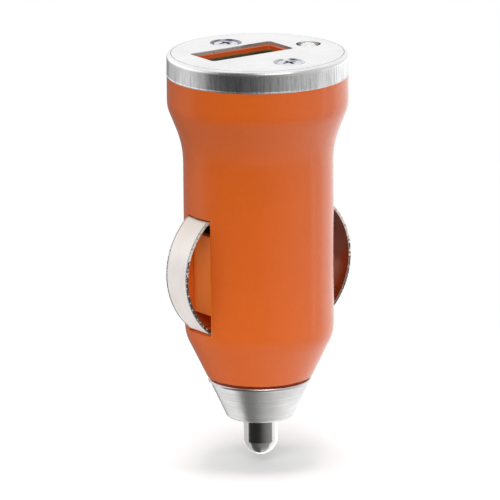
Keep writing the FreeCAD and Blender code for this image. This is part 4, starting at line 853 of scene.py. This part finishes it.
@dataclass
class IndicatorLamp:
    """Milky lamp with the reflector cup and posts that show through its resin."""

    FINISHES: ClassVar[dict[str, Finish]] = {"indicator_led": LAMP_RESIN, "led_leads": TINNED_WIRE}

    x: float = 8.36 * MM
    post_half: float = 0.22 * MM
    post_offset: float = 1.27 * MM
    post_rise: tuple[float, ...] = (0.0, 0.45, 0.75, 1.0)
    post_lean: tuple[float, ...] = (1.0, 1.0, 0.62, 0.5)
    base: float = 10.05 * MM
    post_top: float = 12.6 * MM
    cup_foot: float = 12.2 * MM
    cup_foot_share: float = 0.6
    cup_rim: float = 13.1 * MM
    cup_rim_height: float = 0.1 * MM
    cup_rim_share: float = 0.85
    cup_radius: float = 0.62 * MM
    cup_hollow: float = 0.42 * MM
    cup_hollow_share: float = 0.4
    cup_sides: int = 48

    def build(self) -> None:
        """Dress the lamp and its leads and add what its resin holds."""
        dress_nodes(self.FINISHES)
        seat(self.cup(), "plug", TINNED_WIRE)
        for tag, side in (("a", 1), ("b", -1)):
            seat(self.post(tag, side), "plug", TINNED_WIRE)

    def cup(self) -> Object:
        """Turn the reflector cup.

        The profile runs over a flat foot, up a flared wall, over the rim and down a
        conical hollow. Each share is a part of the cup's radius.

        Returns:
            The cup.
        """
        floor = self.cup_rim - self.cup_hollow
        profile = [
            (0.0, self.cup_foot),
            (self.cup_foot_share * self.cup_radius, self.cup_foot),
            (self.cup_radius, self.cup_rim - self.cup_rim_height),
            (self.cup_radius, self.cup_rim),
            (self.cup_rim_share * self.cup_radius, self.cup_rim),
            (self.cup_hollow_share * self.cup_radius, floor),
            (0.0, floor),
        ]
        points = turned(profile, self.cup_sides, (self.x, 0.0))
        return grid_piece("lamp_cup", points, capped=False)

    def post(self, tag: str, side: int) -> Object:
        """Raise the post of one lead inside the resin, leaning in towards the cup.

        A square section is carried up a line that bends towards the lamp's axis: at each
        share of the rise, it stands off that axis by a share of the post's offset.

        Args:
            tag: the lead's letter.
            side: 1 for the lead at +Y, -1 for the one at -Y.

        Returns:
            The post.
        """
        rise = np.array(self.post_rise)
        lean = np.array(self.post_lean) * side * self.post_offset
        height = self.base + rise * (self.post_top - self.base)
        square = self.post_half * np.array([(-1, -1), (1, -1), (1, 1), (-1, 1)])
        points = np.stack([
            self.x + square[None, :, 0] + 0 * rise[:, None],
            lean[:, None] + square[None, :, 1],
            height[:, None] + 0 * square[None, :, 0]], -1)
        return grid_piece(f"lamp_post_{tag}", points)


@dataclass
class UsbPort:
    """Metal shell with a turned lip and tongue of the USB port, and its four contacts."""

    FINISHES: ClassVar[dict[str, Finish]] = {
        "usb_shell": TINNED_SHEET, "usb_tongue": WHITE_NYLON,
        **{f"usb_contact_{n}": GOLD_PLATE for n in range(1, 5)}}

    middle: tuple[float, float] = (-1.35 * MM, 1.75 * MM)
    half_length: float = 6.28 * MM
    half_width: float = 2.53 * MM
    corner: float = 0.58 * MM
    lip_sheet: float = 0.12 * MM
    lip_foot: float = 13.93 * MM
    lip_top: float = 14.16 * MM
    corner_steps: int = 10

    def build(self) -> None:
        """Dress the shell, the tongue and its contacts, and add the shell's lip."""
        dress_nodes(self.FINISHES)
        seat(self.lip(), "plug", TINNED_SHEET)

    def lip(self) -> Object:
        """Run a flat section round the well's wall at the shell's mouth.

        The run is a rectangle with round corners: each corner's arc turns through a
        quarter circle about a centre that lies one corner radius inside both sides. The
        section's four corners lie on the run and one sheet inside it, at foot and top.

        Returns:
            The lip.
        """
        turn = np.concatenate([np.linspace(q, q + np.pi / 2, self.corner_steps)
                               for q in np.arange(4) * np.pi / 2])
        quarter = np.repeat(np.arange(4), self.corner_steps)
        centre = np.stack([np.array([1, -1, -1, 1])[quarter] * (self.half_length - self.corner),
                           np.array([1, 1, -1, -1])[quarter] * (self.half_width - self.corner)], -1)
        inset = np.array([0.0, 0.0, self.lip_sheet, self.lip_sheet])
        reach = self.corner - inset[None, :]
        height = np.array([self.lip_foot, self.lip_top, self.lip_top, self.lip_foot])
        points = np.stack([
            self.middle[0] + centre[:, :1] + reach * np.cos(turn)[:, None],
            self.middle[1] + centre[:, 1:] + reach * np.sin(turn)[:, None],
            height[None, :] + 0 * turn[:, None]], -1)
        return grid_piece("port_shell_lip", points, loop=True)


@dataclass
class NosePin:
    """Turned nose ring with its upright rim, the sprung pin and its coil spring."""

    FINISHES: ClassVar[dict[str, Finish]] = {
        "nose_ring": NICKEL, "centre_pin": NICKEL_PIN_SHADED, "spring_seat": BRASS}

    rim_radius: float = 6.97 * MM
    rim_top: float = -29.66 * MM
    rim_height: float = 0.46 * MM
    rim_round: float = 0.17 * MM
    rim_inside: float = 6.60 * MM
    rim_steps: int = 5
    rim_sides: int = 256
    coil_radius: float = 2.55 * MM
    wire_radius: float = 0.25 * MM
    foot: float = -32.63 * MM
    head: float = -25.32 * MM
    turns: float = 6.5
    closed_turns: float = 0.75
    steps_per_turn: int = 48
    wire_sides: int = 12
    keep: float = 0.55

    def build(self) -> None:
        """Dress the turned pieces, add the rim and wind the spring."""
        dress_nodes(self.FINISHES)
        seat(self.rim(), "plug", NICKEL)
        spring = self.spring()
        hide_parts("pin_spring")
        seat(spring, "plug", SPRING_STEEL)
        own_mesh(spring)

    def rim(self) -> Object:
        """Turn the short upright rim at the nose ring's upper edge.

        The profile runs from inside the ring out over a rounded upper corner, down an
        upright face, round a chamfer and back in to the ring's cone.

        Returns:
            The rim.
        """
        out, top, foot = self.rim_radius, self.rim_top, self.rim_top - self.rim_height
        bevel = self.rim_round / 2
        profile = [
            (self.rim_inside, top), *quarter_round(out, top, self.rim_round, self.rim_steps),
            (out, foot + bevel), (out - bevel, foot),
            (self.rim_inside, foot), (self.rim_inside, top)]
        return grid_piece("nose_rim", turned(profile, self.rim_sides), capped=False)

    def spring(self) -> Object:
        """Wind the spring with a closed turn at each end.

        The line is (R cos a, R sin a, z), where z rises by one wire's thickness a turn
        over the closed turns and evenly between them.

        Returns:
            The spring.
        """
        count = int(self.turns * self.steps_per_turn)
        turn = np.linspace(0, self.turns, count)
        low, high = self.foot + self.wire_radius, self.head - self.wire_radius
        closed = self.closed_turns * 2 * self.wire_radius
        height = np.interp(
            turn, [0, self.closed_turns, self.turns - self.closed_turns, self.turns],
            [low, low + closed, high - closed, high])
        angle = 2 * np.pi * turn
        line = np.stack([self.coil_radius * np.cos(angle), self.coil_radius * np.sin(angle),
                         height], -1)
        return grid_piece("pin_coil_spring", tube(line, self.wire_radius, self.wire_sides))


@dataclass
class SideContact:
    """Bowed spring strip that stands out of one side of the housing."""

    side: str
    sign: int
    joint: str
    middle: float = -14.0 * MM
    peak: float = 13.55 * MM
    bow_radius: float = 10.0 * MM
    bow_angle: float = math.radians(46.0)
    head: float = 10.1 * MM
    foot: float = 9.7 * MM
    foot_round: float = 0.9 * MM
    tab: float = 7.5 * MM
    tab_length: float = 2.8 * MM
    tab_round: float = 0.8 * MM
    tip: float = 8.9 * MM
    sheet: float = 0.4 * MM
    width: float = 4.7 * MM
    edge_round: float = 0.05 * MM
    edge_steps: int = 4
    groove_inset: float = 0.13 * MM
    groove_depth: float = 0.04 * MM
    groove_half: float = 0.04 * MM
    shoulder: float = 0.01 * MM
    tooth_pitch: float = 0.55 * MM
    tooth_depth: float = 0.10 * MM
    tooth_reach: float = 5.5 * MM
    step: float = 0.07 * MM
    arc_samples: int = 72
    anchor: float = 7.7 * MM
    keep: float = 0.40

    def build(self) -> None:
        """Build the strip, hide the CAD node that it replaces, and let it ride on the plug."""
        piece = grid_piece(f"contact_strip_{self.side}", self.surface())
        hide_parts(f"side_contact_{self.side}")
        seat(piece, "plug", PLATED_STRIP)
        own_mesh(piece)

    def middle_line(self) -> np.ndarray:
        """Lay out the strip's middle line: solder tab, leg, bow and free leg.

        The bow's two end tangents meet at an apex. A leg lies where the outer one of
        them reaches the leg's distance from the axis, half a sheet further in.

        Returns:
            Points (distance from the axis, height), evenly spaced.
        """
        half, slope = self.sheet / 2, math.tan(self.bow_angle)
        middle = self.peak - self.bow_radius
        outer = middle + self.bow_radius / math.cos(self.bow_angle)
        apex = middle + (self.bow_radius - half) / math.cos(self.bow_angle)
        rise, fall = ((outer - end) / slope - half for end in (self.head, self.foot))
        high, low = self.middle + rise, self.middle - fall
        corners = np.array([
            (self.tab + half, high - half + self.tab_length),
            (self.tab + half, high),
            (apex - rise * slope, high),
            (apex, self.middle),
            (apex - fall * slope, low),
            (self.tip, low),
        ])
        radii = np.array([self.tab_round - half, self.foot_round - half,
                          self.bow_radius - half, self.foot_round - half])
        return resample(rounded_path(corners, radii, self.arc_samples), self.step)

    def section(self) -> np.ndarray:
        """Lay out the strip's section: rounded edges and a shallow line beside each.

        Returns:
            Points (across, out, tooth), where tooth is how much the point follows the
            teeth along the strip's edge.
        """
        half, thick = self.width / 2, self.sheet / 2
        groove = half - self.groove_inset
        right_top = [(a, t, 1.0) for a, t in quarter_round(half, thick, self.edge_round,
                                                           self.edge_steps)]
        outer = [
            (0.0, thick, 0.0),
            (groove - self.groove_half - self.shoulder, thick, 0.0),
            (groove - self.groove_half, thick, 0.0),
            (groove, thick - self.groove_depth, 0.0),
            (groove + self.groove_half, thick, 0.0),
        ]
        right_low = [(a, -t, k) for a, t, k in reversed(right_top)]
        inner = [(groove, -thick, 0.0), (0.0, -thick, 0.0)]
        right = outer + right_top + right_low + inner
        left = [(-a, t, k) for a, t, k in reversed(right[1:-1])]
        return np.array(right + left)

    def surface(self) -> np.ndarray:
        """Carry the section along the middle line.

        A point is the line's point, plus its outward normal times the section's height,
        plus Y times the section's reach; the edge at -Y is cut back by a wave of the length
        walked, which makes the fine teeth that the cutting leaves over the crest and dies
        away towards the legs.

        Returns:
            The grid of points, line by section by three.
        """
        line, section = self.middle_line(), self.section()
        along = unit(np.gradient(line, axis=0))
        out = np.stack([-along[:, 1], along[:, 0]], -1)
        walked = np.arange(len(line)) * self.step
        fade = np.exp(-((line[:, 1] - self.middle) / self.tooth_reach) ** 2)
        wave = fade * (0.5 + 0.5 * np.cos(2 * np.pi * walked / self.tooth_pitch))
        across, height, tooth = section.T
        tooth = tooth * (self.sign * across < 0)
        cut = 1 - tooth[None, :] * (self.tooth_depth / (self.width / 2)) * wave[:, None]
        spread = across[None, :] * cut
        place = line[:, None] + out[:, None] * height[None, :, None]
        return np.stack([self.sign * place[..., 0], self.sign * spread, place[..., 1]], -1)


@dataclass
class Electronics:
    """Circuit board and what it carries, with the inductor's wound wire."""

    FINISHES: ClassVar[dict[str, Finish]] = {
        "circuit_board": BOARD_LAMINATE, "converter_chip": BLACK_MOULDING,
        "rectifier_diode": BLACK_MOULDING, "fuse": CHIP_CERAMIC, "inductor_core": FERRITE,
        "input_capacitor": CAN_ALUMINIUM, "output_capacitor": CAN_ALUMINIUM,
        "chip_resistors": CHIP_CERAMIC, "chip_capacitors": CHIP_CERAMIC}

    drum_z: float = -8.2 * MM
    drum_face: float = -0.62 * MM
    wire_radius: float = 0.16 * MM
    waist: float = 1.5 * MM
    slack: float = 0.03 * MM
    layers: int = 3
    nesting: float = 0.9
    foot: float = 0.73 * MM
    head: float = 2.87 * MM
    steps_per_turn: int = 28
    wire_sides: int = 6

    def build(self) -> None:
        """Dress the board's nodes and wind the inductor."""
        dress_nodes(self.FINISHES)
        winding = self.winding()
        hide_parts("inductor_winding")
        seat(winding, "plug", COPPER_WIRE)

    def winding(self) -> Object:
        """Wind the wire in layers round the drum's waist.

        The line turns about an axis along -Y: (R cos a, face - h, z + R sin a). The
        height h runs up and down between the flanges, a wire's thickness a turn, and
        each layer nests a little less than one thickness further out.

        Returns:
            The winding.
        """
        pitch = 2 * self.wire_radius
        span = self.head - self.foot - pitch
        per_layer = int(span / pitch)
        turns = per_layer * self.layers
        turn = np.linspace(0, turns, turns * self.steps_per_turn)
        layer = np.minimum(turn // per_layer, self.layers - 1)
        within = (turn - layer * per_layer) / per_layer
        height = np.where(layer % 2 == 0, within, 1 - within) * span + self.foot + self.wire_radius
        radius = self.waist + self.slack + self.wire_radius + layer * pitch * self.nesting
        angle = 2 * np.pi * turn
        line = np.stack([radius * np.cos(angle), radius * np.sin(angle), height], -1)
        points = tube(line, self.wire_radius, self.wire_sides)
        placed = np.stack([points[..., 0], self.drum_face - points[..., 2],
                           self.drum_z + points[..., 1]], -1)
        return grid_piece("inductor_wire", placed)


@dataclass(frozen=True)
class Softbox:
    """Square soft lamp that faces the object.

    The azimuth and the elevation give its direction in degrees, the azimuth from the
    camera's own. Where pieces are named, it lights those pieces alone.
    """

    name: str
    azimuth: float
    elevation: float
    distance: float
    side: float
    power: float
    in_gloss: bool = True
    pieces: tuple[str, ...] = ()

    def hang(self, facing: float, aim: Vector) -> None:
        """Hang the lamp, and bind it to its pieces where it names any.

        Args:
            facing: the camera's azimuth, in degrees.
            aim: the point that the lamp faces, in metres.
        """
        away = direction(facing + self.azimuth, self.elevation)
        data = bpy.data.lights.new(self.name, "AREA")
        data.shape, data.size, data.energy = "SQUARE", self.side, self.power
        lamp = bpy.data.objects.new(self.name, data)
        lamp.location = aim + away * self.distance
        lamp.rotation_euler = away.to_track_quat("Z", "Y").to_euler()
        lamp.visible_glossy = self.in_gloss
        bpy.context.scene.collection.objects.link(lamp)
        if not self.pieces:
            return
        lamp.visible_camera = False
        shone = bpy.data.collections.new(self.name)
        for name in self.pieces:
            shone.objects.link(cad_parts.get(name) or bpy.data.objects[name])
        lamp.light_linking.receiver_collection = shone
        lamp.light_linking.blocker_collection = shone


@dataclass
class Studio:
    """Camera, paper, world and lamps, as the photograph has them."""

    azimuth: float = -34.85
    elevation: float = 14.0
    roll: float = -0.46
    distance: float = 1.2
    pixels_per_mm: float = 7.432
    aim_height: float = -12.0 * MM
    offset_right: float = 8.95
    offset_down: float = -0.68
    clip: tuple[float, float] = (0.01, 10.0)
    floor_height: float = -41.4 * MM
    floor_radius: float = 75.0 * MM
    floor_rings: int = 12
    floor_sides: int = 96
    ceiling_lean: float = 40.0
    ceiling_light: float = 1.05
    ceiling_band: tuple[float, float] = (0.45, 0.72)
    low_band: tuple[float, float] = (-0.38, -0.54)
    upper_band: tuple[float, float] = (-0.14, 0.02)
    belt: tuple[tuple[float, float], ...] = (
        (-180, 0.50), (-165, 0.22), (-136, 0.18), (-119, 0.28), (-104, 0.42), (-97, 0.40),
        (-88, 0.18), (-68, 0.06), (-24, 0.05), (0, 0.09), (14, 0.20), (40, 0.42), (60, 0.58),
        (88, 0.70), (93, 1.20), (99, 0.90), (108, 0.85), (119, 1.30), (140, 1.30), (180, 1.10))
    low: tuple[tuple[float, float], ...] = (
        (-180, 0.25), (-150, 0.14), (-124, 0.20), (-106, 0.26), (-90, 0.26), (-56, 0.18),
        (-28, 0.24), (0, 0.42), (57, 0.72), (109, 1.10), (137, 1.20), (180, 0.90))
    upper: tuple[tuple[float, float], ...] = (
        (-180, 1.00), (-76, 1.00), (-60, 0.40), (-44, 0.10), (0, 0.12), (40, 0.45),
        (88, 0.75), (180, 1.00))
    softboxes: tuple[Softbox, ...] = (
        Softbox("key_softbox", 26, 46.0, 0.9, 0.6, 1.4),
        Softbox("fill_softbox", -10, 38.0, 0.9, 0.6, 4.5, in_gloss=False),
        Softbox("top_softbox", 0, 88.0, 0.8, 0.3, 3.8, in_gloss=False),
    )
    metal_softboxes: tuple[Softbox, ...] = (
        Softbox("low_softbox", -121, -39, 0.6, 0.66, 1.1,
                pieces=("nose_ring", "nose_rim", "contact_strip_left")),
        Softbox("cap_softbox", -110, -14, 0.6, 1.0, 1.2, pieces=("cap", "cap_lip")),
        Softbox("rim_softbox", 6, 34, 0.9, 0.6, 3.0, pieces=("nose_rim",)),
        Softbox("pin_left_softbox", -134, -16, 0.6, 1.2, 5.0, pieces=("centre_pin",)),
        Softbox("pin_right_softbox", 134, -16, 0.6, 1.2, 6.0, pieces=("centre_pin",)),
    )

    def axes(self) -> tuple[Vector, Vector, Vector]:
        """Work out the camera's axes, rolled about its own line of sight.

        Returns:
            Its right, its up and its back, each of length one.
        """
        turn, roll = math.radians(self.azimuth), math.radians(self.roll)
        back = direction(self.azimuth, self.elevation)
        level = Vector((math.cos(turn), math.sin(turn), 0.0))
        upright = back.cross(level)
        right = math.cos(roll) * level + math.sin(roll) * upright
        return right, back.cross(right), back

    def build(self) -> None:
        """Set up the camera, the paper and the light."""
        scene = bpy.context.scene
        scene.view_settings.view_transform = "Standard"
        right, up, back = self.axes()
        scale = self.pixels_per_mm / MM
        aim = Vector((0, 0, self.aim_height))
        aim = aim - right * (self.offset_right / scale) + up * (self.offset_down / scale)
        data = bpy.data.cameras.new("photo_camera")
        data.sensor_width = SENSOR
        data.lens = scale * self.distance * SENSOR / PHOTO_SIDE
        data.clip_start, data.clip_end = self.clip
        camera = bpy.data.objects.new("photo_camera", data)
        place = aim + back * self.distance
        camera.matrix_world = Matrix([(*row, p) for row, p in zip(zip(right, up, back), place)]
                                     + [(0, 0, 0, 1)])
        scene.collection.objects.link(camera)
        scene.camera = camera
        self.paper()
        self.world(scene)
        self.hang(self.softboxes)

    def paper(self) -> None:
        """Lay a round sheet of paper under the object: rings of a flat disc."""
        radii = np.linspace(0, self.floor_radius, self.floor_rings)
        points = turned([(r, self.floor_height) for r in radii], self.floor_sides)
        sheet = grid_piece("paper_floor", points, capped=False)
        dress(sheet, STUDIO_PAPER)
        sheet.visible_glossy = False

    def world(self, scene: Scene) -> None:
        """Light the object from all round, and show plain white to the camera itself.

        A direction's turn about Z, from the camera's side, picks its light from three
        ramps: one for what lies low, one for a belt just under the horizon, which is what
        an upright side reflects, and one for what lies over it. What lies high or high
        behind the object is a bright ceiling.

        Args:
            scene: the scene whose world is made.
        """
        world = bpy.data.worlds.new("studio")
        scene.world = world
        world.use_nodes = True
        tree = world.node_tree
        way = add_node(tree, "TexCoord").outputs["Generated"]
        turn = math.radians(self.azimuth)
        front = (math.sin(turn), -math.cos(turn), 0.0)
        side = (math.cos(turn), math.sin(turn), 0.0)
        lean = math.radians(self.ceiling_lean)
        ceiling = (-front[0] * math.sin(lean), -front[1] * math.sin(lean), math.cos(lean))
        ahead, across, high = (
            add_node(tree, "VectorMath", {"operation": "DOT_PRODUCT"},
                     {0: way, 1: axis}).outputs["Value"] for axis in (front, side, ceiling))
        angle = add_node(tree, "Math", {"operation": "ARCTAN2"}, {0: across, 1: ahead}).outputs[0]
        share = add_node(tree, "MapRange", None, {
            "Value": angle, "From Min": -math.pi, "From Max": math.pi}).outputs[0]
        height = add_node(tree, "SeparateXYZ", None, {0: way}).outputs["Z"]
        light: Any = self.ramp(tree, share, self.belt)
        for value, (start, end), beyond in (
            (height, self.low_band, self.ramp(tree, share, self.low)),
            (height, self.upper_band, self.ramp(tree, share, self.upper)),
            (high, self.ceiling_band, (*[self.ceiling_light] * 3, 1.0)),
            (add_node(tree, "LightPath").outputs["Is Camera Ray"], (0.0, 1.0), (1.0,) * 4),
        ):
            part = add_node(tree, "MapRange", {"interpolation_type": "SMOOTHSTEP"}, {
                "Value": value, "From Min": start, "From Max": end}).outputs[0]
            light = add_node(tree, "Mix", {"data_type": "RGBA"},
                             {"Factor": part, 6: light, 7: beyond}).outputs[2]
        tree.links.new(light, tree.nodes["Background"].inputs["Color"])

    def ramp(self, tree: NodeTree, share: NodeSocket,
             stops: Sequence[tuple[float, float]]) -> NodeSocket:
        """Turn a share of a full turn into grey light.

        Args:
            tree: the world's node tree.
            share: the turn's share, from 0 at -180 degrees to 1 at 180 degrees.
            stops: (degrees, light) pairs, in rising order.

        Returns:
            The light's colour.
        """
        ramp = add_node(tree, "ValToRGB", None, {"Fac": share})
        steps = ramp.color_ramp.elements
        while len(steps) < len(stops):
            steps.new(0.5)     # each stop is moved to its own place below
        for step, (degrees, light) in zip(steps, stops):
            step.position = degrees / 360 + 0.5
            step.color = (light, light, light, 1.0)
        return ramp.outputs["Color"]

    def hang(self, boxes: Sequence[Softbox]) -> None:
        """Hang soft lamps round the point that the camera aims at."""
        for box in boxes:
            box.hang(self.azimuth, Vector((0, 0, self.aim_height)))

    def light_metal(self) -> None:
        """Light bright metal alone, from where the housing's gloss would turn pale."""
        self.hang(self.metal_softboxes)


def main() -> None:
    """Build the studio and every sub-assembly in order."""
    logging.basicConfig(level=logging.INFO, format="%(message)s")
    studio = Studio()
    studio.build()
    for part in (
        Shell(),
        Cap(),
        IndicatorLamp(),
        UsbPort(),
        NosePin(),
        SideContact("right", 1, "right_contact_press"),
        SideContact("left", -1, "left_contact_press"),
        Electronics(),
    ):
        LOG.info("building %s", type(part).__name__)
        part.build()
    studio.light_metal()


if __name__ == "__main__":
    main()
